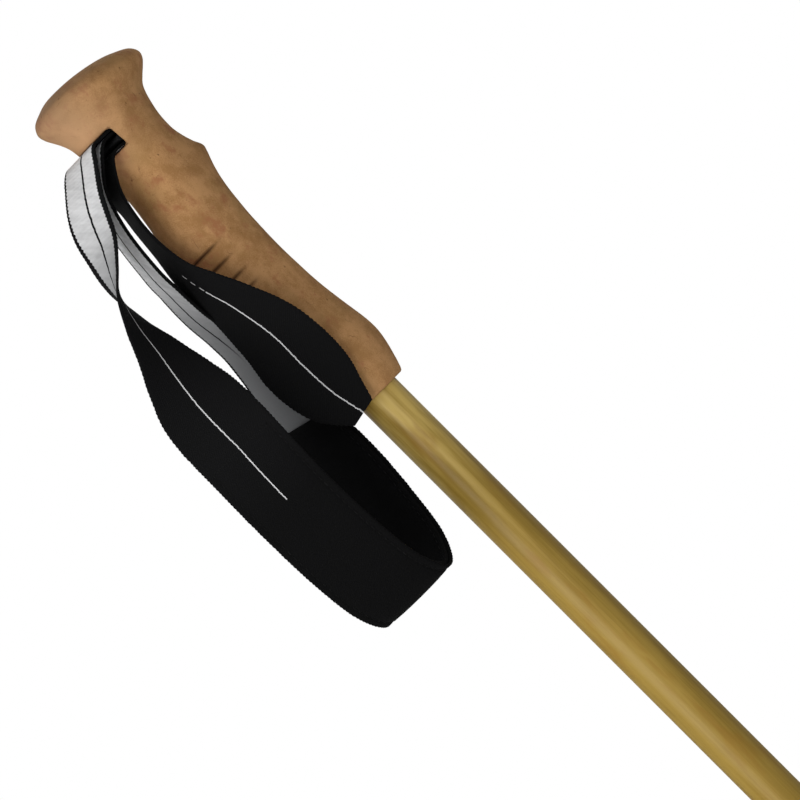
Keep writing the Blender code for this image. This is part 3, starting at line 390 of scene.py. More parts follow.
class FittingSettings(bpy.types.PropertyGroup):
    """Colours of the moulded and metal fittings."""

    black: bpy.props.FloatVectorProperty(
        name="Black plastic", description="Colour of the collars, tip and basket",
        default=(0.020, 0.020, 0.022), subtype="COLOR",
    )
    grey: bpy.props.FloatVectorProperty(
        name="Grey plastic", description="Colour of the levers and dials",
        default=(0.105, 0.107, 0.112), subtype="COLOR",
    )
    rubber: bpy.props.FloatVectorProperty(
        name="Rubber", description="Colour of the foot",
        default=(0.018, 0.018, 0.018), subtype="COLOR",
    )


class StageSettings(bpy.types.PropertyGroup):
    """The camera's place and the level of the lights."""

    distance: bpy.props.FloatProperty(
        name="Camera distance", description="From the camera to the middle of the picture",
        default=5.0, unit="LENGTH",
    )
    span: bpy.props.FloatProperty(
        name="Picture width", description="Width of the picture at the stick",
        default=0.3064, unit="LENGTH",
    )
    ambient: bpy.props.FloatProperty(
        name="Ambient level", description="Strength of the light from all round", default=0.25,
    )
    key: bpy.props.FloatProperty(
        name="Key light", description="Power of the main soft light", default=23.0, unit="POWER",
    )


class Signal:
    """A shader socket that takes part in Python expressions on values."""

    def __init__(self, shade, socket):
        self.shade = shade
        self.socket = socket

    def maths(self, operation, *values):
        return self.shade.node("Math", {"operation": operation}, values)

    def __add__(self, other):
        return self.maths("ADD", self, other)

    __radd__ = __add__

    def __sub__(self, other):
        return self.maths("SUBTRACT", self, other)

    def __rsub__(self, other):
        return self.maths("SUBTRACT", other, self)

    def __mul__(self, other):
        return self.maths("MULTIPLY", self, other)

    __rmul__ = __mul__

    def __abs__(self):
        return self.maths("ABSOLUTE", self)

    def __gt__(self, other):
        return self.maths("GREATER_THAN", self, other)

    def sine(self):
        return self.maths("SINE", self)

    def larger(self, other):
        return self.maths("MAXIMUM", self, other)

    def rise(self, low, high):
        """Goes smoothly from 0 at low to 1 at high."""
        limits = {"Value": self, "From Min": low, "From Max": high}
        return self.shade.node("MapRange", {"interpolation_type": "SMOOTHSTEP"}, limits)

    def mix(self, first, second):
        """The first colour where this value is 0, the second where it is 1."""
        return self.shade.node("Mix", {"data_type": "RGBA"}, {0: self, 6: first, 7: second}, 2)

    def stretched(self, x, y, z):
        return self.shade.node("VectorMath", {"operation": "MULTIPLY"}, (self, (x, y, z)))


class Shade:
    """One tree of shader nodes. node() adds any of them."""

    def __init__(self, tree):
        self.tree = tree
        tree.nodes.clear()

    def node(self, kind, settings=None, sockets=None, output=0):
        node = self.tree.nodes.new("ShaderNode" + kind)
        for name, value in (settings or {}).items():
            setattr(node, name, value)
        pairs = sockets.items() if isinstance(sockets, dict) else enumerate(sockets or ())
        for name, value in pairs:
            socket = node.inputs[name]
            if isinstance(value, Signal):
                self.tree.links.new(value.socket, socket)
            elif socket.type == "RGBA" and len(value) == 3:
                socket.default_value = (*value, 1.0)
            else:
                socket.default_value = value
        return Signal(self, node.outputs[output]) if len(node.outputs) else None

    def place(self):
        return self.node("TexCoord", output="Object")

    def known(self, name):
        """A value that the mesh carries."""
        return self.node("Attribute", {"attribute_name": name}, output="Fac")

    def noise(self, place, scale, detail=3.0, rough=0.55):
        sockets = {"Vector": place, "Scale": scale, "Detail": detail, "Roughness": rough}
        return self.node("TexNoise", {}, sockets)

    def cells(self, place, scale):
        """The distance to the nearest cell's middle, and a random value for each cell."""
        sockets = {"Vector": place, "Scale": scale}
        distance = self.node("TexVoronoi", {}, sockets, "Distance")
        colour = self.node("TexVoronoi", {}, sockets, "Color")
        return distance, self.node("SeparateColor", {}, {"Color": colour}, "Red")

    def bump(self, height, distance, strength=1.0):
        return self.node("Bump", {}, {"Height": height, "Distance": distance, "Strength": strength})

    def surface(self, **sockets):
        named = {name.replace("_", " "): value for name, value in sockets.items()}
        shader = self.node("BsdfPrincipled", {}, named)
        self.node("OutputMaterial", {}, {"Surface": shader})


def times(share, colour):
    """A colour made darker or lighter."""
    return tuple(share * part for part in colour)


def new_finish(name):
    """A new material and its empty tree of shader nodes."""
    material = bpy.data.materials.new(name)
    material.use_nodes = True
    return material, Shade(material.node_tree)


def cork_finish(s):
    """Matt cork: soft reddish patches, bark flecks, thin veins, pores and darkened palm grooves,
    with painted shade at the slot's edge and on the head, and a painted highlight round the slot.
    """
    material, shade = new_finish("cork_matt")
    place = shade.place()
    patches = shade.noise(place, 80, 3, 0.5)
    clouds = shade.noise(place, 300, 4, 0.6)
    grain = shade.noise(place, 2300, 2, 0.6)
    tone = patches * 0.50 + clouds * 0.24 + grain * 0.26
    colour = tone.rise(0.39, 0.61).mix(s.dark, s.light)
    olive = shade.noise(place.stretched(1, 1, 0.6), 62, 2, 0.5).rise(0.48, 0.70)
    colour = (olive * 0.40).mix(colour, (0.295, 0.175, 0.062))
    red = shade.noise(place.stretched(1, 1, 0.8), 125, 4, 0.65).rise(0.53, 0.70)
    colour = (red * 0.85).mix(colour, (0.330, 0.137, 0.062))
    # Painted shade over the top of the head on the palm's side, and a painted highlight lower down round
    # the slot
    colour = (shade.known("dull") * 0.55).mix(colour, (0.298, 0.182, 0.112))
    colour = (shade.known("pale") * 0.60).mix(colour, (0.560, 0.330, 0.170))
    near, pick = shade.cells(place.stretched(1, 1, 0.62), 330)
    ragged = near + shade.noise(place, 1400, 2) * 0.22
    flecks = (1 - ragged.rise(0.15, 0.27)) * (pick > 0.87)
    near, pick = shade.cells(place, 820)
    pores = (1 - near.rise(0.06, 0.24)) * (pick > 0.90)
    winding = abs(shade.noise(place.stretched(1, 1, 0.55), 150, 2, 0.4) - 0.5)
    veins = (1 - winding.rise(0.0012, 0.0048)) * shade.noise(place, 240, 2).rise(0.56, 0.64)
    spots = flecks.larger(pores * 0.6).larger(veins * 0.75)
    colour = (spots * 0.62).mix(colour, s.fleck)
    # Darker palm grooves, and painted shade along the slot's edge
    groove_dark_and_mouth_shade = shade.known("groove_dark_and_mouth_shade")
    colour = groove_dark_and_mouth_shade.mix(colour, (0.042, 0.017, 0.008))
    height = grain * 0.55 + clouds * 0.45 - spots * 0.9
    shade.surface(
        Base_Color=colour,
        Roughness=0.72 + grain * 0.18,
        Specular_IOR_Level=0.08,
        Normal=shade.bump(height, 0.00018, 0.7),
    )
    return material


def webbing_finish(s):
    """Double-faced weave: black outside with a white line, white inside with a black line, and painted
    shade on both faces in the loop.
    """
    material, shade = new_finish("webbing_woven")
    along, across, edge = shade.known("along"), shade.known("across"), shade.known("edge")
    inner, lined, padded = shade.known("inner"), shade.known("line"), shade.known("padded")
    selvedge, spread = shade.known("selvedge"), shade.known("spread")
    turn = 2 * math.pi / s.rib
    flat = shade.node("CombineXYZ", {}, (along, across * 0.35, inner * 0.01))
    uneven = shade.noise(flat, 430, 2) - 0.5
    ribs = (along * turn + uneven * 5.0).sine()
    picks = (along * (turn * 3)).sine()
    warps = (across * (2 * math.pi / 0.00062)).sine()
    twill = (along * (turn * 2) + across * 5200).sine()
    fuzz = shade.noise(shade.place(), 2600, 2, 0.7)
    line_place = shade.node("CombineXYZ", {}, (along, inner * 0.01, 0.0))
    drift = (shade.noise(line_place, 620, 3, 0.7) - 0.5) * 0.0010
    off_centre = abs(across + drift)
    toothed = edge + ribs * 0.00022 + drift * 0.35
    border = 1 - (toothed - selvedge).rise(-0.00012, 0.00012)
    black_line = 1 - off_centre.rise(0.00040, 0.00066)
    white_line = (1 - off_centre.rise(0.00014, 0.00032)) * lined * (0.85 + 0.15 * picks)
    black = (0.5 + 0.5 * (twill * 0.6 + fuzz * 0.4)).mix(times(0.6, s.black), times(1.5, s.black))
    # Painted shade on the outer face where it lies in the loop
    black = shade.known("deep").mix(black, times(0.35, s.black))
    slanting = shade.node("CombineXYZ", {}, (along + across * 0.55, across * 0.12, 0.0))
    creases = shade.noise(slanting, 300, 3, 0.5) - 0.5
    weave = ribs * 0.025 + picks * 0.02 + warps * 0.03
    pale = (weave + uneven * 0.9 + creases * 1.6 + fuzz * 0.3).rise(-0.4, 0.55)
    white = pale.mix(times(0.78, s.white), times(1.05, s.white))
    # spread greys the reverse: partly a greyer weave, partly painted shade between the strands and where
    # they turn away
    white = spread.mix(white, (0.150, 0.153, 0.157))
    dark = border.larger(black_line * (1 - spread.rise(0.91, 0.97))).larger(padded)
    reverse = dark.mix(white, black)
    outer = white_line.mix(black, times(0.78, s.white))
    height = (
        inner * (ribs * 0.04 + picks * 0.06 + creases * 1.2 + 0.5)
        + (1 - inner) * (twill * 0.25 + picks * 0.15 + 0.5)
        + fuzz * 0.30
    )
    shade.surface(
        Base_Color=inner.mix(outer, reverse),
        Roughness=0.80 + fuzz * 0.15,
        Specular_IOR_Level=0.07,
        Normal=shade.bump(height, 0.00012, 0.8),
    )
    return material


def lining_finish(s):
    """Brushed black lining."""
    material, shade = new_finish("lining_brushed")
    place = shade.place()
    nap = shade.noise(place, 3800, 3, 0.7)
    lie = shade.noise(place, 240, 3)
    tone = nap * 0.6 + lie * 0.4
    colour = tone.rise(0.3, 0.7).mix(times(0.6, s.lining), times(1.6, s.lining))
    shade.surface(
        Base_Color=colour,
        Roughness=0.95,
        Specular_IOR_Level=0.08,
        Normal=shade.bump(nap, 0.00016, 0.7),
    )
    return material


def lacquer_finish(s):
    """Golden bamboo-look lacquer, with soft grain along the tube, brown stains and a painted highlight
    by the grip.
    """
    material, shade = new_finish("lacquer_bamboo")
    place = shade.place()
    broad = shade.noise(place.stretched(1, 1, 0.10), 150, 3, 0.55)
    streaks = shade.noise(place.stretched(1, 1, 0.022), 620, 3, 0.6)
    hairs = shade.noise(place.stretched(1, 1, 0.008), 3000, 2, 0.6)
    tone = broad * 0.52 + streaks * 0.30 + hairs * 0.18
    colour = tone.rise(0.36, 0.62).mix(s.amber, s.gold)
    # A painted highlight on the tube just below the grip
    highlight_by_grip = shade.node("SeparateXYZ", {}, (place,), "Z").rise(-0.155, -0.085)
    colour = (highlight_by_grip * broad.rise(0.38, 0.60) * 0.85).mix(colour, (0.560, 0.400, 0.115))
    stain = shade.noise(place.stretched(1, 1, 0.24), 130, 3, 0.6).rise(0.53, 0.70)
    colour = (stain * 0.50).mix(colour, (0.250, 0.130, 0.016))
    shade.surface(
        Base_Color=colour,
        Roughness=0.46 + hairs * 0.10,
        Specular_IOR_Level=0.14,
        Coat_Weight=0.14,
        Coat_Roughness=0.26,
        Normal=shade.bump(streaks * 0.6 + hairs * 0.4, 0.00004, 0.5),
    )
    return material


def anodised_finish(s):
    """Satin anodised tube, with light scuffs along it from sliding."""
    material, shade = new_finish("anodised_satin")
    place = shade.place()
    drawn = shade.noise(place.stretched(1, 1, 0.02), 1500, 3, 0.6)
    scuffs = shade.noise(place.stretched(1, 1, 0.05), 420, 4, 0.7).rise(0.56, 0.66)
    colour = (scuffs * 0.5).mix(s.metal, times(1.22, s.metal))
    shade.surface(
        Base_Color=colour,
        Metallic=1.0,
        Roughness=0.30 + drawn * 0.14 - scuffs * 0.08,
        Normal=shade.bump(drawn, 0.00003, 0.5),
    )
    return material


def moulded_finish(name, colour, roughness, grain=2400, depth=0.00006, sheen=0.5):
    """Moulded plastic or rubber with a fine grain and paler, rubbed places."""
    material, shade = new_finish(name)
    place = shade.place()
    skin = shade.noise(place, grain, 3, 0.6)
    rubbed = shade.noise(place, 160, 4, 0.62).rise(0.50, 0.72)
    worn = (rubbed * 0.55).mix(colour, tuple(1.5 * c + 0.004 for c in colour))
    shade.surface(
        Base_Color=worn,
        Roughness=roughness + skin * 0.14 - rubbed * 0.06,
        Specular_IOR_Level=sheen,
        Normal=shade.bump(skin, depth, 0.6),
    )
    return material


def metal_finish(name, colour, roughness):
    """Turned or ground metal with fine tool marks."""
    material, shade = new_finish(name)
    marks = shade.noise(shade.place().stretched(1, 1, 6), 2600, 3, 0.6)
    dull = shade.noise(shade.place(), 700, 3).rise(0.45, 0.65)
    shade.surface(
        Base_Color=(dull * 0.4).mix(colour, times(0.72, colour)),
        Metallic=1.0,
        Roughness=roughness + marks * 0.16,
        Normal=shade.bump(marks, 0.00003, 0.5),
    )
    return material


def flowing(knots, step):
    """Rows of a smooth curve through knots, spaced by their first three numbers, and each knot's row."""
    knots = np.array(knots, float)
    gaps = np.linalg.norm(np.diff(knots[:, :3], axis=0), axis=1)
    padded = np.vstack([2 * knots[0] - knots[1], knots, 2 * knots[-1] - knots[-2]])
    rows = []
    marks = []
    for i, gap in enumerate(gaps):
        before, start, end, after = padded[i : i + 4]
        marks.append(len(rows))
        count = max(1, math.ceil(gap / step))
        for t in np.arange(count) / count:
            rows.append(
                0.5
                * (
                    2 * start
                    + (end - before) * t
                    + (2 * before - 5 * start + 4 * end - after) * t**2
                    + (3 * start - before - 3 * end + after) * t**3
                )
            )
    rows.append(knots[-1])
    marks.append(len(rows) - 1)
    return np.array(rows), marks


def linked(name, data):
    """A new object in the scene."""
    item = bpy.data.objects.new(name, data)
    bpy.context.scene.collection.objects.link(item)
    return item


def middle_of(node):
    """The middle of a node's box in the frame."""
    low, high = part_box(node)
    return (low + high) / 2


def tube_sizes(name):
    """A tube's outer radius, its top and its end, from the frame."""
    low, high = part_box(name + "_shaft")
    return high.y, high.z, low.z


def new_piece(name, mesh, finish, body, stands_for=()):
    """A named piece that rides on a body and stands for CAD nodes."""
    piece = linked(name, mesh)
    mesh.materials.clear()
    mesh.materials.append(finish)
    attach(piece, body)
    if stands_for:
        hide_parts(*stands_for)
    return piece


def mesh_of(name, vertices, faces):
    """A mesh of points and faces."""
    mesh = bpy.data.meshes.new(name)
    mesh.from_pydata([tuple(v) for v in vertices], [], [tuple(f) for f in faces])
    mesh.validate()
    return mesh


def faced_out(mesh, merge=False):
    """The mesh with its faces pointing out, after points that meet are merged where asked."""
    bm = bmesh.new()
    bm.from_mesh(mesh)
    if merge:
        bmesh.ops.remove_doubles(bm, verts=bm.verts, dist=MERGE_DISTANCE)
    bmesh.ops.recalc_face_normals(bm, faces=bm.faces)
    bm.to_mesh(mesh)
    bm.free()
    return mesh


def joined_mesh(name, shapes):
    """One mesh of several shapes, each given as its points and its faces."""
    vertices, faces = [], []
    for points, own_faces in shapes:
        faces += [tuple(len(vertices) + i for i in face) for face in own_faces]
        vertices += list(points)
    return mesh_of(name, vertices, faces)


def grid_faces(rows, columns):
    """Quads between rings of so many points, closed round each ring."""
    i = np.arange(rows - 1)[:, None] * columns
    k = np.arange(columns)[None, :]
    n = (k + 1) % columns
    return np.stack([i + k, i + n, i + n + columns, i + k + columns], axis=-1).reshape(-1, 4)


def rod_faces(rows, columns):
    """The same quads with a face across each end."""
    last = (rows - 1) * columns
    ends = (range(columns - 1, -1, -1), range(last, last + columns))
    return [tuple(face) for face in (*grid_faces(rows, columns), *ends)]


def shade_round(mesh, angle):
    """Shades the mesh smooth, but for edges sharper than the angle in degrees."""
    mesh.shade_smooth()
    mesh.set_sharp_from_angle(angle=math.radians(angle))


def carry(mesh, name, values):
    """Stores a value at each point for the finish to read."""
    layer = mesh.attributes.new(name, "FLOAT", "POINT")
    layer.data.foreach_set("value", np.asarray(values, np.float32))


def places(mesh):
    """The mesh's points as rows of numbers."""
    flat = np.empty(len(mesh.vertices) * 3, np.float32)
    mesh.vertices.foreach_get("co", flat)
    return flat.reshape(-1, 3).astype(float)


def worked(mesh, *steps):
    """The mesh after modifiers, each given as its kind and its settings."""
    item = linked("work", mesh)
    for kind, settings in steps:
        step = item.modifiers.new(kind, kind)
        for name, value in settings.items():
            setattr(step, name, value)
    graph = bpy.context.evaluated_depsgraph_get()
    result = bpy.data.meshes.new_from_object(item.evaluated_get(graph))
    bpy.data.objects.remove(item)
    return result


def cut_by(mesh, tools):
    """The mesh after tool meshes are cut out of it."""
    items = [linked("tool", tool) for tool in tools]
    steps = [("BOOLEAN", {"operation": "DIFFERENCE", "solver": "EXACT", "object": t}) for t in items]
    result = worked(mesh, *steps)
    for item in items:
        bpy.data.objects.remove(item)
    return result


def block_mesh(low, high):
    """A box between two corners."""
    bm = bmesh.new()
    bmesh.ops.create_cube(bm, size=1.0)
    low, high = Vector(low), Vector(high)
    bmesh.ops.scale(bm, vec=high - low, verts=bm.verts)
    bmesh.ops.translate(bm, vec=(high + low) / 2, verts=bm.verts)
    mesh = bpy.data.meshes.new("block")
    bm.to_mesh(mesh)
    bm.free()
    return mesh


def prism_mesh(outline, low, high):
    """A bar along X whose end is a closed outline of Y and Z."""
    points = [(x, y, z) for x in (low, high) for y, z in outline]
    return faced_out(mesh_of("prism", points, rod_faces(2, len(outline))))


def turned_mesh(name, profile, sides):
    """Turns a closed outline of radius and height about the shaft's axis."""
    angles = 2 * math.pi * np.arange(sides) / sides
    points = [
        (r * math.cos(a), r * math.sin(a), z) for r, z in [*profile, profile[0]] for a in angles
    ]
    return faced_out(mesh_of(name, points, grid_faces(len(profile) + 1, sides)), merge=True)


def rounded(outline, radius, steps=4):
    """A closed outline with its corners rounded."""
    points = []
    count = len(outline)
    for i in range(count):
        before, corner, after = (Vector(outline[(i + k) % count]) for k in (-1, 0, 1))
        start, end = (
            corner + (other - corner).normalized() * min(radius, 0.45 * (other - corner).length)
            for other in (before, after)
        )
        for t in np.linspace(0, 1, steps + 1):
            points.append(tuple(start * (1 - t) ** 2 + corner * 2 * t * (1 - t) + end * t**2))
    return points


def groove_at(depth, angle):
    """How much of a palm groove lies at a depth and an angle from the front, from 0 to 1."""
    off_rear = math.pi - np.abs(angle)
    across = np.clip(1.6 * (1 - (off_rear / GROOVE_SPREAD) ** 2), 0, 1)
    near = np.min([np.abs(depth - centre) for centre in GROOVE_DEPTHS], axis=0)
    return across * np.clip(1 - (near / GROOVE_HALF_WIDTH) ** 2, 0, 1) ** 2


def from_slot(points):
    """How far points lie outside the slot's mouth, with a metre added on the grip's other side."""
    over = np.clip(np.abs(points[:, 1]) - SLOT_HALF_WIDTH, 0, None)
    middle, half = (SLOT_TOP_Z + SLOT_FLOOR_Z) / 2, (SLOT_TOP_Z - SLOT_FLOOR_Z) / 2
    above = np.clip(np.abs(points[:, 2] - middle) - half, 0, None)
    return np.hypot(over, above) + (points[:, 0] > MOUTH_SIDE_X)


def cork_relief(point, pit_depth):
    """Slow waves and scattered pores of the cork's skin."""
    wave = WAVE_HEIGHT * noise.noise(point * WAVES_PER_METRE)
    distances, cells = noise.voronoi(point * PORES_PER_METRE)
    chosen = noise.cell(cells[0] * 7.3) > PORE_FROM
    pore = max(0.0, 1 - distances[0] / PORE_REACH) if chosen else 0.0
    return wave - pit_depth * pore * pore


def cork_form(s):
    """The points and faces of the grip's outer surface, with its head, beak and palm grooves."""
    sections = [(d, f, r, w * NECK_HALF_WIDTH) for d, f, r, w in GRIP_TOP + GRIP_SECTIONS]
    rows, _ = flowing(sections, s.spacing)
    power = 2 / GRIP_ROUNDNESS
    angle = (-math.pi + 2 * math.pi * np.arange(GRIP_SIDES) / GRIP_SIDES)[None, :]
    ahead, aside = np.cos(angle), np.sin(angle)
    depth, front, rear, half = (rows[:, k][:, None] for k in range(4))
    x = np.where(ahead > 0, front, rear) * np.sign(ahead) * np.abs(ahead) ** power
    y = half * np.sign(aside) * np.abs(aside) ** power
    shrink = 1 - groove_at(depth, angle) * s.groove_depth / np.hypot(x, y)
    x, y = x * shrink, y * shrink
    lean = HEAD_TILT * x * np.clip(1 - depth / (0.9 * HEAD_DEPTH), 0, None)
    points = np.stack([x, y, CROWN_Z - depth - lean], axis=-1).reshape(-1, 3)
    return points, [face[::-1] for face in rod_faces(len(rows), GRIP_SIDES)]


def cork_mesh(s):
    """The grip's outer surface, with fine faces round the slot, a rounded lip there, and pores."""
    points, faces = cork_form(s)
    mesh = faced_out(mesh_of("cork_sleeve", points, faces))
    bm = bmesh.new()
    bm.from_mesh(mesh)
    by_slot = from_slot(points) < LIP_RADIUS + 2 * s.spacing
    edges = [e for e in bm.edges if by_slot[e.verts[0].index] and by_slot[e.verts[1].index]]
    bmesh.ops.subdivide_edges(bm, edges=edges, cuts=3, use_grid_fill=True)
    bm.to_mesh(mesh)
    bm.free()
    points = places(mesh)
    normals = np.empty(len(points) * 3, np.float32)
    mesh.vertices.foreach_get("normal", normals)
    lift = np.array([cork_relief(Vector(point), s.pit_depth) for point in points])
    into_lip = 1 - np.clip(from_slot(points) / LIP_RADIUS, 0, 1)
    points += normals.reshape(-1, 3) * lift[:, None]
    points[:, 0] += LIP_RADIUS * (1 - np.sqrt(1 - into_lip**2))
    mesh.vertices.foreach_set("co", points.astype(np.float32).ravel())
    return mesh


def grip_hollows():
    """What is cut out of the cork: the room for the strap's fittings, the slot and the shaft's bore."""
    low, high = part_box("strap_housing")
    lowest = (low.x - FIT, low.y - FIT, SLOT_FLOOR_Z - ROOM_DROP)
    room = block_mesh(lowest, high + Vector((FIT, FIT, FIT)))
    half = SLOT_HALF_WIDTH
    corners = [(-half, SLOT_FLOOR_Z), (half, SLOT_FLOOR_Z), (half, SLOT_TOP_Z), (-half, SLOT_TOP_Z)]
    slot = prism_mesh(rounded(corners, SLOT_CORNER, 6), SLOT_OUTER_X, SLOT_INNER_X)
    radius = tube_sizes("upper")[0] + FIT
    outline = [(0, BORE_TOP_Z), (radius, BORE_TOP_Z), (radius, BORE_END_Z), (0, BORE_END_Z)]
    return room, slot, turned_mesh("bore", outline, TUBE_SIDES)


def cork_values(points):
    """What the cork's finish reads at each point.

    The first value darkens the palm grooves and paints shade along the slot's edge, dull is painted
    shade over the palm's side of the head, and pale a painted highlight on the cork round the slot.
    """
    x, y, z = points.T
    angle = np.arctan2(y, x)
    ends = np.clip(1 - ((math.pi - np.abs(angle)) / GROOVE_SPREAD) ** 2, 0, 1)
    groove = groove_at(CROWN_Z - z, angle) ** 0.7 * ends**0.9 * 0.95
    # Painted shade along the slot's edge
    mouth = 0.5 * (1 - np.clip(from_slot(points) / MOUTH_EDGE, 0, 1))
    # dull and pale: painted shade and a painted highlight on the palm's side of the head
    palm_side = np.clip(0.5 - (x - y) / 0.030, 0, 1)
    return {
        "groove_dark_and_mouth_shade": np.maximum(groove, mouth),
        "dull": palm_side * np.interp(z, (0.048, 0.070), (0, 1)),
        "pale": palm_side**2 * np.interp(z, (0.044, 0.058, 0.068, 0.080), (0, 1, 1, 0)),
    }


class STICK_OT_cork_grip(bpy.types.Operator):
    """Shapes the cork grip and cuts the strap's slot and room and the shaft's bore in it"""

    bl_idname = "stick.cork_grip"
    bl_label = "Cork grip"

    def execute(self, context):
        s = context.scene.stick_grip
        mesh = cut_by(cork_mesh(s), grip_hollows())
        for name, values in cork_values(places(mesh)).items():
            carry(mesh, name, values)
        shade_round(mesh, 40)
        new_piece("cork_sleeve", mesh, cork_finish(s), "upper_section", ["cork_grip"])
        return {"FINISHED"}


def placed(station):
    """A station in metres and radians, with its width scaled to the strap's narrow width."""
    x, y, depth, turn, width = station
    z = CROWN_Z - depth / 1000
    return (x / 1000, y / 1000, z, math.radians(turn), width / LOOP_STATIONS[0][4] * STRAP_NARROW)


def strap_line(step):
    """The strap's middle line from its sewn eye to its free end, and the rows of the named stations."""
    quarter, narrow = math.pi / 2, STRAP_NARROW
    pin, wedge = middle_of("strap_pin"), middle_of("strap_wedge")
    way_out = (MOUTH_X / 2, MOUTH_X)

    def bend(x, z, radius, first, last, way):
        return [
            (x + radius * math.cos(a), 0, z + radius * math.sin(a), way, narrow)
            for a in np.linspace(first, last, BEND_POINTS)
        ]

    def straight(ends, z, way):
        return [(x, 0, z, way, narrow) for x in ends]

    rows = bend(pin.x, pin.z, EYE_RADIUS, -quarter, quarter, quarter)
    rows += straight(way_out, pin.z + EYE_RADIUS, quarter)
    loop = len(rows)
    rows += [placed(station) for station in LOOP_STATIONS]
    rows += straight(way_out[::-1], wedge.z + TURN_RADIUS, -quarter)
    rows += bend(TURN_X, wedge.z, TURN_RADIUS, quarter, -quarter, -quarter)
    rows += straight(way_out, wedge.z - TURN_RADIUS, -quarter)
    tail = len(rows)
    rows += [placed(station) for station in TAIL_STATIONS]
    line, marks = flowing(rows, step)
    named = {
        "pad first": marks[loop + PAD_FIRST_STATION],
        "pad last": marks[loop + PAD_LAST_STATION],
        "near line last": marks[loop + LINE_LAST_STATION - 1],
        "line last": marks[loop + LINE_LAST_STATION],
        "line again": marks[tail + LINE_AGAIN_STATION],
        "line whole": marks[tail + LINE_AGAIN_STATION + 1],
        "mouth back": marks[loop + len(LOOP_STATIONS) - 1],
        "tail": marks[tail],
    }
    named["pad end"] = named["pad last"] + round(PAD_OVERRUN / step)
    named["selvedges"] = [marks[loop + station] for station, *_ in SELVEDGES]
    return line, named


def strap_frames(line):
    """The unit lines across and outward at each row, and the length along."""
    points = line[:, :3]
    along = np.gradient(points, axis=0)
    along /= np.linalg.norm(along, axis=1)[:, None]
    across = np.stack([np.cos(line[:, 3]), np.sin(line[:, 3]), np.zeros(len(line))], axis=1)
    across -= (across * along).sum(1)[:, None] * along
    across /= np.linalg.norm(across, axis=1)[:, None]
    outward = np.cross(along, across)
    length = np.concatenate([[0], np.cumsum(np.linalg.norm(np.diff(points, axis=0), axis=1))])
    return points, across, outward, length


def band_outline(width, half, seams, middle_columns, edge_steps):
    """For every row, the side and the height of the points of the band's section.

    They go from the outer face round to the inner one. The seams are the distances of extra columns
    from each edge.
    """
    flat = width[:, None] / 2 - half
    beside = width[:, None] / 2 - np.array(seams)
    between = beside[:, -1:] * np.linspace(-1, 1, middle_columns + 2)[1:-1]
    sides = np.concatenate([-flat, -beside, between, beside[:, ::-1], flat], axis=1)
    outer = np.stack([sides, np.full(sides.shape, half)], axis=-1)
    turn = np.linspace(math.pi / 2, -math.pi / 2, edge_steps + 2)[1:-1]
    edge = flat + half * np.cos(turn)
    right = np.stack([edge, np.broadcast_to(half * np.sin(turn), edge.shape)], axis=-1)
    inner = outer[:, ::-1] * np.array([1, -1])
    left = right[:, ::-1] * np.array([-1, 1])
    outline = np.concatenate([outer, right, inner, left], axis=1)
    return outline[..., 0], outline[..., 1]


def band_mesh(name, points, across, outward, side, height):
    """A closed band whose points lie at a side and a height from its middle line."""
    where = (
        points[:, None, :]
        + across[:, None, :] * side[..., None]
        + outward[:, None, :] * height[..., None]
    )
    mesh = mesh_of(name, where.reshape(-1, 3), rod_faces(*side.shape))
    shade_round(mesh, 60)
    return mesh


def padding(width, length, side, named):
    """How far each point lies in the sewn seams, and how much the padding between them puffs up."""
    start, end = length[named["pad first"]], length[named["pad end"]]
    into = np.minimum(length - start, end - length)[:, None]
    from_edge = width[:, None] / 2 - np.abs(side)
    inside = np.clip(into / SEAM_RUN_IN, 0, 1)
    seam = np.exp(-(((from_edge - SEAM_INSET) / SEAM_HALF_WIDTH) ** 2)) * inside
    span = width[:, None] / 2 - SEAM_INSET
    begun = np.clip(into / PUFF_RUN_IN, 0, 1) ** 0.5
    puff = np.clip(1 - (side / span) ** 2, 0, 1) ** 0.7 * begun
    return seam, puff


def thread_stitches(spots):
    """Sewn threads: each spot gives a stitch's middle, its direction and the way up."""
    rings, sides = 7, 8
    t = np.linspace(-1, 1, rings)
    fat = np.sqrt(np.clip(1 - t**4, 0.02, 1)) * THREAD / 2
    a = 2 * math.pi * np.arange(sides) / sides
    shapes = []
    for middle, along, up in spots:
        aside = np.cross(along, up)
        dip = up * (t**2 * THREAD * 0.45)[:, None]
        spine = middle + along * (t * STITCH_LENGTH / 2)[:, None] - dip
        round_it = np.cos(a)[None, :, None] * aside + np.sin(a)[None, :, None] * up
        points = (spine[:, None, :] + round_it * fat[:, None, None]).reshape(-1, 3)
        shapes.append((points, rod_faces(rings, sides)))
    mesh = faced_out(joined_mesh("stitches", shapes))
    shade_round(mesh, 70)
    return mesh


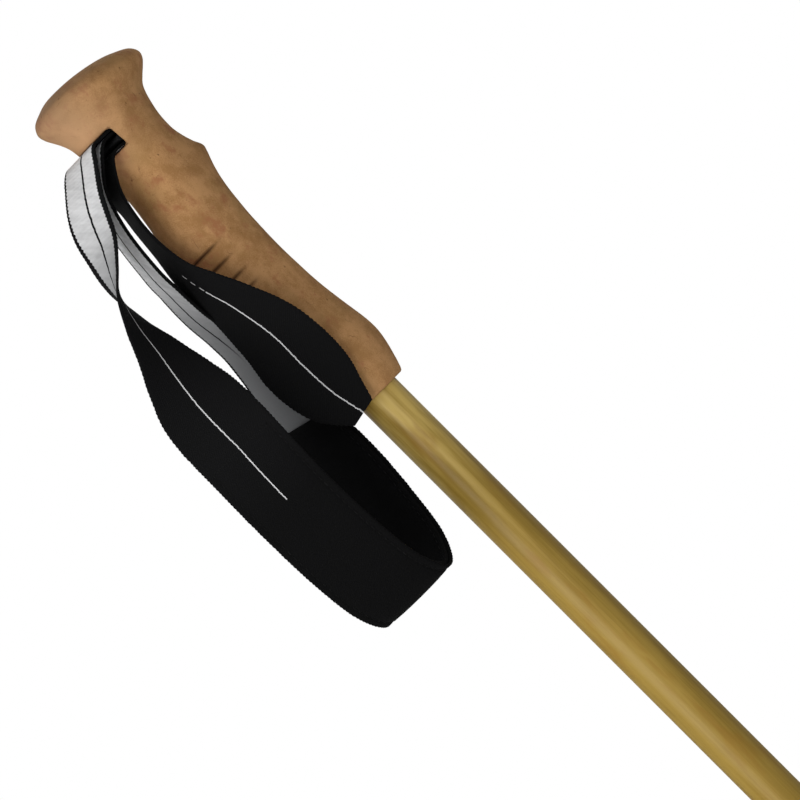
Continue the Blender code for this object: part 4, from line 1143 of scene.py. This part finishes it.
class STICK_OT_strap_stitching(bpy.types.Operator):
    """Sews the lining to the webbing: a seam along each edge and a zigzag across each end"""

    bl_idname = "stick.strap_stitching"
    bl_label = "Strap stitching"

    def execute(self, context):
        s = context.scene.stick_strap
        step = s.step
        line, named = strap_line(step)
        points, across, outward, _ = strap_frames(line)
        along = np.cross(across, outward)
        width = line[:, 4]
        outer, inner = s.thickness / 2, -(s.thickness / 2 + PAD_GAP + 2 * PAD_HALF)
        first, end = named["pad first"], named["pad end"]
        spots = []

        def sew(row, side, way_along, heights):
            for height in heights:
                middle = points[row] + across[row] * side + outward[row] * height
                spots.append((middle, way_along, outward[row] * math.copysign(1, height)))

        pitch = round(STITCH_PITCH / step)
        for row in range(first + pitch, end - pitch, pitch):
            for sign in (-1, 1):
                side = sign * (width[row] / 2 - SEAM_INSET)
                sew(row, side, along[row], (outer - SEAM_SINK, inner + SEAM_SINK))
        for row, turn in ((first, 1), (end, -1)):
            row += turn * round(ZIGZAG_INSET / step)
            half = width[row] / 2 - SEAM_INSET - ZIGZAG_MARGIN
            count = round(2 * half / ZIGZAG_PITCH)
            for i in range(count):
                side = -half + (i + 0.5) * 2 * half / count
                sideways = ZIGZAG_ACROSS if i % 2 else -ZIGZAG_ACROSS
                slant = along[row] * ZIGZAG_ALONG + across[row] * sideways
                sew(row, side, slant, (outer + ZIGZAG_LIFT, inner + ZIGZAG_SINK))
        mesh = thread_stitches(spots)
        thread = moulded_finish(
            "thread_black", (0.003, 0.003, 0.003), 0.70, grain=5000, depth=0.00003, sheen=0.1
        )
        new_piece("strap_stitches", mesh, thread, "upper_section")
        return {"FINISHED"}


def webbing_relief(s, width, length, named):
    """The side and height of the band's points: ribs, looped edges, sunk seams and padding between."""
    half = s.thickness / 2
    side, height = band_outline(width, half, WEBBING_COLUMNS, middle_columns=5, edge_steps=3)
    uneven = np.array([noise.noise((at * 260, 0, 0)) for at in length])[:, None]
    rib = np.cos(2 * math.pi * length[:, None] / s.rib + uneven * 2.5)
    on_edge = np.clip((np.abs(side) - width[:, None] / 2) / half + 1.2, 0, 1)
    side = side + np.sign(side) * on_edge * EDGE_LOOP * (rib - 1 + uneven)
    height = height + np.sign(height) * (1 - on_edge) * RIB_HEIGHT * (rib - 1)
    seam, puff = padding(width, length, side, named)
    return side, np.where(height > 0, height + PUFF_HEIGHT * puff - SEAM_DEPTH * seam, height)


def webbing_values(s, width, length, side, named):
    """What the woven finish reads at each point.

    along, across and edge are distances: along the band, from its centre line and from its nearer
    edge. inner is 1 on the reverse, selvedge is the width of the black edge there, line is the white
    line's strength, padded is 1 under the lining, spread is the share of grey on the reverse, partly a
    greyer weave and partly painted shade, and deep is how much blacker the outer face is where it lies
    in the loop's shade.
    """
    count, around = side.shape
    back = slice(named["pad last"], named["mouth back"])
    turned_back = np.arange(count) > named["pad first"]
    # The reverse goes from the last point of one rounded edge to the first point of the other
    inner = (np.arange(around) >= around // 2 - 1) & (np.arange(around) < around - 2)

    line = np.ones(count)
    line[named["line last"] - round(LINE_STOPS_BEFORE / s.step) : named["line again"]] = 0
    broken = slice(named["line again"], named["line whole"])
    line[broken] = 0.7 * np.clip(2 * np.sin(2 * math.pi * length[broken] / LINE_DASH) + 0.6, 0, 1)
    padded = np.zeros(count)
    padded[named["pad first"] + 2 : named["pad end"] - 2] = 1

    _, left, right = np.array(SELVEDGES).T / 1000
    at = length[named["selvedges"]]
    edges = [
        np.where(turned_back, returning, np.interp(length, at, near))[:, None]
        for returning, near in zip(RETURNING_EDGES, (left, right))
    ]
    wide_side = np.where(turned_back, 1, -1)[:, None] * side > 0

    away, grey = np.array(GREYING).T
    # Painted shade on the near strand's reverse; back from the lining, a greyer weave with painted shade
    near_painted_shade = np.interp(length, at[list(NEAR_PAINTED_SHADE)], list(NEAR_PAINTED_SHADE.values()))
    spread = np.where(turned_back, 0, near_painted_shade)
    beyond_pad = length[back] - length[named["pad last"]]
    spread[back] = np.interp(beyond_pad, away / 1000, grey)
    to_pad = np.clip(1 - length / length[named["pad first"]], 0, 1)
    off_middle = LINE_OFF_AT_HEAD * to_pad**0.5
    off_middle[back] = LINE_OFF_RETURNING
    turns = length[[named[row] for row in ("near line last", "line last", "tail", "line again")]]
    return {
        "along": length[:, None],
        "across": side - off_middle[:, None],
        "edge": width[:, None] / 2 - np.abs(side),
        "inner": inner[None, :],
        "selvedge": np.where(wide_side, edges[1], edges[0]),
        "line": line[:, None],
        "padded": padded[:, None],
        "spread": spread[:, None],
        "deep": np.interp(length, turns, (0, 0.8, 0.8, 0))[:, None],
    }


class STICK_OT_strap_webbing(bpy.types.Operator):
    """Weaves the strap's webbing, black outside and white inside, with ribs and looped edges"""

    bl_idname = "stick.strap_webbing"
    bl_label = "Strap webbing"

    def execute(self, context):
        s = context.scene.stick_strap
        line, named = strap_line(s.step)
        points, across, outward, length = strap_frames(line)
        width = line[:, 4]
        side, height = webbing_relief(s, width, length, named)
        mesh = band_mesh("woven_strap", points, across, outward, side, height)
        for name, values in webbing_values(s, width, length, side, named).items():
            carry(mesh, name, np.broadcast_to(values, side.shape).ravel())
        finish = webbing_finish(s)
        webbing = new_piece("woven_strap", mesh, finish, "upper_section", ["strap_webbing"])
        return {"FINISHED"}


class STICK_OT_strap_lining(bpy.types.Operator):
    """Pads the wide part of the strap with a soft lining, sewn down along its edges"""

    bl_idname = "stick.strap_lining"
    bl_label = "Strap lining"

    def execute(self, context):
        s = context.scene.stick_strap
        line, named = strap_line(s.step)
        points, across, outward, length = strap_frames(line)
        rows = slice(named["pad first"], named["pad end"] + 1, PAD_ROW_STEP)
        points, across, outward, length = (a[rows] for a in (points, across, outward, length))
        width = line[rows, 4] - 2 * PAD_MARGIN
        side, height = band_outline(width, PAD_HALF, PAD_COLUMNS, middle_columns=13, edge_steps=4)
        from_edge = np.clip(width[:, None] / 2 - np.abs(side), 0, None)
        seam_at = SEAM_INSET - PAD_MARGIN
        seam = np.exp(-(((from_edge - seam_at) / PAD_SEAM_HALF_WIDTH) ** 2))
        puff = PAD_PUFF * np.clip(1 - (side / (width[:, None] / 2 - seam_at)) ** 2, 0, 1) ** 0.7
        to_end = np.minimum(length - length[0], length[-1] - length)[:, None]
        thin = np.interp(to_end, (0, PAD_END_LENGTH), (PAD_END_SHARE, 1))
        inside = height < 0
        relief = height - puff + PAD_SEAM_DEPTH * seam
        height = np.where(inside, (relief + PAD_HALF) * thin - PAD_HALF, height)
        height = np.where(inside, height + 2 * PAD_HALF * (1 - thin) * 0.8, height)
        height = height - (s.thickness / 2 + PAD_GAP + PAD_HALF)
        mesh = band_mesh("padded_lining", points, across, outward, side, height)
        finish = lining_finish(s)
        lining = new_piece("padded_lining", mesh, finish, "upper_section", ["strap_lining"])
        return {"FINISHED"}


def softened(node, voxel, passes, sides):
    """A copy of a node's shape with its edges rounded, and its walls of so many sides made round."""
    mesh = faced_out(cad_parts[node].data.copy(), merge=True)
    mesh = worked(mesh, ("REMESH", {"mode": "VOXEL", "voxel_size": voxel, "use_smooth_shade": True}))
    if sides:
        points = places(mesh)
        turn = 2 * math.pi / sides
        from_middle = np.mod(np.arctan2(points[:, 1], points[:, 0]), turn) - turn / 2
        points[:, :2] *= (np.cos(from_middle) / math.cos(turn / 2))[:, None]
        mesh.vertices.foreach_set("co", points.astype(np.float32).ravel())
    return worked(mesh, ("SMOOTH", {"factor": 0.5, "iterations": passes}))


def soft_pieces(*rows):
    """Moulded pieces, each on one row: name, node, finish, body, slot (not used), voxel (mm), passes and
    sides.
    """
    for name, node, finish, body, slot, voxel, passes, sides in rows:
        mesh = softened(node, voxel / 1000, passes, sides)
        mesh.shade_smooth()
        new_piece(name, mesh, finish, body, [node])


def tube_mesh(name, slit):
    """A tube with rounded rims, and with a slit at its end where a clamp closes on it."""
    radius, top, end = tube_sizes(name)
    inner = radius - TUBE_WALL
    outline = [(radius, top), (radius, end), (inner, end), (inner, top)]
    mesh = turned_mesh(name, rounded(outline, TUBE_RIM_RADIUS, 3), TUBE_SIDES)
    if slit:
        half = SLIT_WIDTH / 2
        lowest = (-SLIT_CUT_REACH, -half, end - SLIT_CUT_PAST)
        gap = block_mesh(lowest, (0, half, end + SLIT_LENGTH))
        mesh = cut_by(mesh, (gap,))
    shade_round(mesh, 40)
    return mesh


class STICK_OT_tubes(bpy.types.Operator):
    """Makes the lacquered upper tube, the two sliding tubes and their guides"""

    bl_idname = "stick.tubes"
    bl_label = "Tubes"

    def execute(self, context):
        s = context.scene.stick_tubes
        lacquer, metal = lacquer_finish(s), anodised_finish(s)
        white = moulded_finish("white_plastic_satin", (0.62, 0.62, 0.60), 0.45, depth=0.00002)
        for piece, tube, slit, finish, slot in (
            ("lacquered_tube", "upper", True, lacquer, "bamboo_lacquer"),
            ("middle_tube", "middle", True, metal, "anodised"),
            ("lower_tube", "lower", False, metal, "anodised"),
        ):
            mesh = tube_mesh(tube, slit)
            new_piece(piece, mesh, finish, tube + "_section", [tube + "_shaft"])
        soft_pieces(
            ("middle_bush", "middle_guide", white, "middle_section", "white_plastic", 0.32, 4, 24),
            ("lower_bush", "lower_guide", white, "lower_section", "white_plastic", 0.32, 4, 24),
        )
        return {"FINISHED"}


# Each numeral as a line through points on a grid 4 wide and 6 high
NUMERALS = {
    "0": ((2, 6), (0.6, 5.2), (0.2, 3), (0.6, 0.8), (2, 0), (3.4, 0.8), (3.8, 3), (3.4, 5.2), (2, 6)),
    "1": ((0.9, 4.9), (2.3, 6), (2.3, 3), (2.3, 0)),
    "2": ((0.4, 4.6), (1.1, 5.8), (2.6, 5.9), (3.5, 4.7), (3.0, 3.3), (1.4, 1.7), (0.3, 0.1), (3.8, 0.1)),
    "3": ((0.4, 5.1), (2, 6), (3.4, 5), (2.9, 3.5), (1.8, 3.2), (3.2, 2.7), (3.7, 1.4), (2, 0), (0.3, 0.9)),
    "5": ((3.5, 5.9), (0.8, 5.9), (0.6, 3.3), (2.2, 3.7), (3.6, 2.8), (3.5, 0.9), (1.9, 0), (0.3, 0.7)),
}


def printed_line(points, radius, width):
    """A printed stroke that follows the tube: its points are distances round and heights."""
    ends = np.array(points, float)
    gaps = np.linalg.norm(np.diff(ends, axis=0), axis=1)
    rows = [ends[0]]
    for start, stop, gap in zip(ends, ends[1:], gaps):
        count = max(1, math.ceil(gap / INK_STEP))
        rows += [start + (stop - start) * (k + 1) / count for k in range(count)]
    rows = np.array(rows)
    along = np.gradient(rows, axis=0)
    along /= np.linalg.norm(along, axis=1)[:, None]
    off = np.stack([-along[:, 1], along[:, 0]], axis=1) * width / 2
    loops = []
    under, over = radius - INK_THICKNESS, radius + INK_THICKNESS
    for edge, reach in ((off, under), (off, over), (-off, over), (-off, under)):
        turn = (rows + edge)[:, 0] / radius + MARK_TURN
        height = (rows + edge)[:, 1]
        loops.append(np.stack([reach * np.cos(turn), reach * np.sin(turn), height], axis=1))
    return np.stack(loops, axis=1).reshape(-1, 3), rod_faces(len(rows), 4)


def scale_strokes(radius, edge, shortest, reach):
    """The strokes and numerals of one tube's scale, and the ring at its end, each with its width."""

    def stroke(z, half, width):
        return ((-half, z), (half, z)), width

    wide, high = NUMERAL_GRID
    strokes = []
    for length in range(math.ceil(shortest + 0.5), LONGEST + 1):
        z = edge + (length - shortest) / 100
        if length % MARK_STEP:
            strokes.append(stroke(z, *SHORT_STROKE))
            continue
        strokes.append(stroke(z, *LONG_STROKE))
        for place, digit in enumerate(str(length)):
            left = (place - 1.5) * NUMERAL_PITCH + NUMERAL_INSET
            line = [(x * wide + left, y * high + z + NUMERAL_LIFT, 0) for x, y in NUMERALS[digit]]
            smooth = line if digit == "1" else flowing(line, NUMERAL_STEP)[0]
            strokes.append(([point[:2] for point in smooth], NUMERAL_LINE))
    half_round = math.pi * radius * RING_SHARE
    strokes.append(stroke(edge + reach / 100 + RING_LIFT, half_round, RING_WIDTH))
    return strokes


class STICK_OT_length_marks(bpy.types.Operator):
    """Prints the length scale in centimetres on the two sliding tubes"""

    bl_idname = "stick.length_marks"
    bl_label = "Length marks"

    def execute(self, context):
        ink = moulded_finish(
            "ink_black", (0.008, 0.008, 0.008), 0.5, grain=3000, depth=0.00001, sheen=0.3
        )
        for name, (lock, shortest, reach) in SCALES.items():
            radius = tube_sizes(name)[0]
            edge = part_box(lock)[0].z
            strokes = scale_strokes(radius, edge, shortest, reach)
            shapes = [printed_line(points, radius, width) for points, width in strokes]
            mesh = joined_mesh(name + "_marks", shapes)
            shade_round(mesh, 50)
            new_piece(name + "_length_marks", mesh, ink, name + "_section")
        return {"FINISHED"}


class STICK_OT_lever_locks(bpy.types.Operator):
    """Makes both lever locks: clamp collar, cam lever, barrel, washer, dial and screw"""

    bl_idname = "stick.lever_locks"
    bl_label = "Lever locks"

    def execute(self, context):
        s = context.scene.stick_fittings
        black = moulded_finish("black_plastic_matt", s.black, 0.44)
        grey = moulded_finish("grey_plastic_satin", s.grey, 0.40, depth=0.00003)
        steel = metal_finish("steel_plated", (0.60, 0.60, 0.62), 0.22)
        for lock, section in (("upper_", "upper_section"), ("lower_", "middle_section")):
            node = lock + "lock_"
            lever, dial = lock + "lever", lock + "dial"
            soft_pieces(
                (lock + "clamp", node + "collar", black, section, "black_plastic", 0.32, 4, 32),
                (lock + "cam_lever", node + "lever", grey, lever, "grey_plastic", 0.28, 6, 0),
                (lock + "tension_dial", node + "dial", grey, dial, "grey_plastic", 0.22, 3, 0),
                (lock + "tension_screw", node + "screw", steel, dial, "steel", 0.18, 3, 0),
                (lock + "cam_barrel", node + "barrel", steel, section, "steel", 0.20, 3, 0),
                (lock + "thrust_washer", node + "washer", steel, section, "steel", 0.18, 2, 0),
            )
        return {"FINISHED"}


class STICK_OT_strap_fittings(bpy.types.Operator):
    """Finishes the strap's housing, pin and wedge in the grip's head"""

    bl_idname = "stick.strap_fittings"
    bl_label = "Strap fittings"

    def execute(self, context):
        s = context.scene.stick_fittings
        # Three times darker than the other black plastic: painted shade inside the slot
        black = moulded_finish("black_plastic_painted_shade", times(0.3, s.black), 0.75, sheen=0.15)
        steel = metal_finish("steel_pin", (0.60, 0.60, 0.62), 0.25)
        grip, block = "upper_section", "strap_wedge_block"
        soft_pieces(
            ("head_housing", "strap_housing", black, grip, "black_plastic", 0.30, 2, 0),
            ("cross_pin", "strap_pin", steel, grip, "steel", 0.20, 3, 0),
            ("strap_lock_block", "strap_wedge", black, block, "black_plastic", 0.20, 3, 0),
        )
        return {"FINISHED"}


class STICK_OT_tip_and_foot(bpy.types.Operator):
    """Makes the plastic tip, its carbide point, the basket and the rubber foot with its disc"""

    bl_idname = "stick.tip_and_foot"
    bl_label = "Tip, basket and foot"

    def execute(self, context):
        s = context.scene.stick_fittings
        black = moulded_finish("black_plastic_tip", s.black, 0.42)
        rubber = moulded_finish(
            "rubber_moulded", s.rubber, 0.74, grain=1800, depth=0.00008, sheen=0.3
        )
        carbide = metal_finish("carbide_ground", (0.30, 0.30, 0.31), 0.34)
        steel = metal_finish("steel_disc", (0.60, 0.60, 0.62), 0.26)
        lower = "lower_section"
        soft_pieces(
            ("stick_tip", "tip_body", black, lower, "black_plastic", 0.32, 4, 32),
            ("trail_basket", "basket", black, lower, "black_plastic", 0.32, 4, 36),
            ("carbide_point", "carbide_tip", carbide, lower, "carbide", 0.15, 2, 0),
            ("pull_off_foot", "rubber_foot", rubber, "foot", "rubber", 0.32, 4, 32),
            ("wear_disc", "foot_disc", steel, "foot", "steel", 0.20, 3, 0),
        )
        return {"FINISHED"}


def studio_sky(ambient):
    """A world that shows white to the camera and in gloss, and lights the stick softly from all round."""
    world = bpy.data.worlds.new("studio")
    world.use_nodes = True
    shade = Shade(world.node_tree)
    seen = shade.node("LightPath", output="Is Camera Ray")
    for ray in ("Is Glossy Ray", "Is Transmission Ray"):
        seen = seen.larger(shade.node("LightPath", output=ray))
    level = seen * (1 - ambient) + ambient
    sky = shade.node("Background", {}, {"Color": (1.0, 1.0, 1.0), "Strength": level})
    shade.node("OutputWorld", {}, {"Surface": sky})
    return world


def floor_finish():
    """A pale floor that takes the stick's shadow and fades into the white sky."""
    material, shade = new_finish("floor_pale")
    away = shade.node("VectorMath", {"operation": "LENGTH"}, (shade.place(),), "Value")
    fade = (0.35 + 0.65 * away.rise(0.62, 1.4)) * shade.node("LightPath", output="Is Camera Ray")
    plain = shade.node("BsdfDiffuse", {}, {"Color": (0.86, 0.86, 0.86)})
    white = shade.node("Emission", {}, {"Color": (1.0, 1.0, 1.0), "Strength": 1.0})
    blended = shade.node("MixShader", {}, (fade, plain, white))
    shade.node("OutputMaterial", {}, {"Surface": blended})
    return material


class STICK_OT_stage(bpy.types.Operator):
    """Lays the pale floor, hangs the soft lights and stands the camera where the photograph was taken"""

    bl_idname = "stick.stage"
    bl_label = "Stage"

    def execute(self, context):
        s = context.scene.stick_stage
        scene = context.scene
        scene.view_settings.view_transform = "Standard"
        scene.world = studio_sky(s.ambient)
        back = Vector((-1.0, -1.0, 0.0)).normalized()
        side = Vector((0, 0, 1)).cross(back)
        upright = Matrix((side, back.cross(side), back)).transposed()

        lens = bpy.data.cameras.new("camera")
        lens.sensor_width = FILM_WIDTH
        lens.lens = FILM_WIDTH * s.distance / s.span
        lens.clip_end = FAR_END
        camera = linked("camera", lens)
        turned = upright @ Matrix.Rotation(VIEW_ROLL, 3, "Z")
        camera.matrix_world = Matrix.Translation(VIEW_MIDDLE + back * s.distance) @ turned.to_4x4()
        scene.camera = camera

        for name, (place, size, share) in LAMPS.items():
            lamp = bpy.data.lights.new(name, "AREA")
            lamp.size = size
            lamp.energy = s.key * share
            item = linked(name, lamp)
            offset = upright @ Vector(place)
            item.location = VIEW_MIDDLE + offset
            item.rotation_mode = "QUATERNION"
            item.rotation_quaternion = offset.to_track_quat("Z", "Y")

        turns = 2 * math.pi * np.arange(FLOOR_SIDES) / FLOOR_SIDES
        points = [
            (radius * math.cos(turn), radius * math.sin(turn), CAD_BOX[0].z)
            for radius in np.geomspace(*FLOOR_RADII, FLOOR_RINGS)
            for turn in turns
        ]
        faces = [*grid_faces(FLOOR_RINGS, FLOOR_SIDES), range(FLOOR_SIDES)]
        floor = linked("floor", mesh_of("floor", points, faces))
        floor.data.materials.append(floor_finish())
        # The floor rides on the foot, so the stick still stands on it when the tubes are out
        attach(floor, "foot")
        return {"FINISHED"}


class STICK_PT_panel(bpy.types.Panel):
    """Lists the steps that build the walking stick."""

    bl_idname = "STICK_PT_panel"
    bl_label = "Walking stick"
    bl_space_type = "VIEW_3D"
    bl_region_type = "UI"
    bl_category = "Stick"

    def draw(self, context):
        for step in STEPS:
            self.layout.operator(step.bl_idname)


SETTINGS = {
    "stick_grip": GripSettings,
    "stick_strap": StrapSettings,
    "stick_tubes": TubeSettings,
    "stick_fittings": FittingSettings,
    "stick_stage": StageSettings,
}
STEPS = (
    STICK_OT_stage,
    STICK_OT_cork_grip,
    STICK_OT_strap_fittings,
    STICK_OT_strap_webbing,
    STICK_OT_strap_lining,
    STICK_OT_strap_stitching,
    STICK_OT_tubes,
    STICK_OT_length_marks,
    STICK_OT_lever_locks,
    STICK_OT_tip_and_foot,
)


def register():
    """Adds the settings, the steps and the panel."""
    for group in (*SETTINGS.values(), *STEPS, STICK_PT_panel):
        bpy.utils.register_class(group)
    for name, group in SETTINGS.items():
        setattr(bpy.types.Scene, name, bpy.props.PointerProperty(type=group))


def unregister():
    """Takes them away again."""
    for name in SETTINGS:
        delattr(bpy.types.Scene, name)
    for group in (STICK_PT_panel, *reversed(STEPS), *reversed(SETTINGS.values())):
        bpy.utils.unregister_class(group)


def main():
    """Makes every piece and the stage."""
    register()
    for step in STEPS:
        group, name = step.bl_idname.split(".")
        getattr(getattr(bpy.ops, group), name)()


if __name__ == "__main__":
    main()
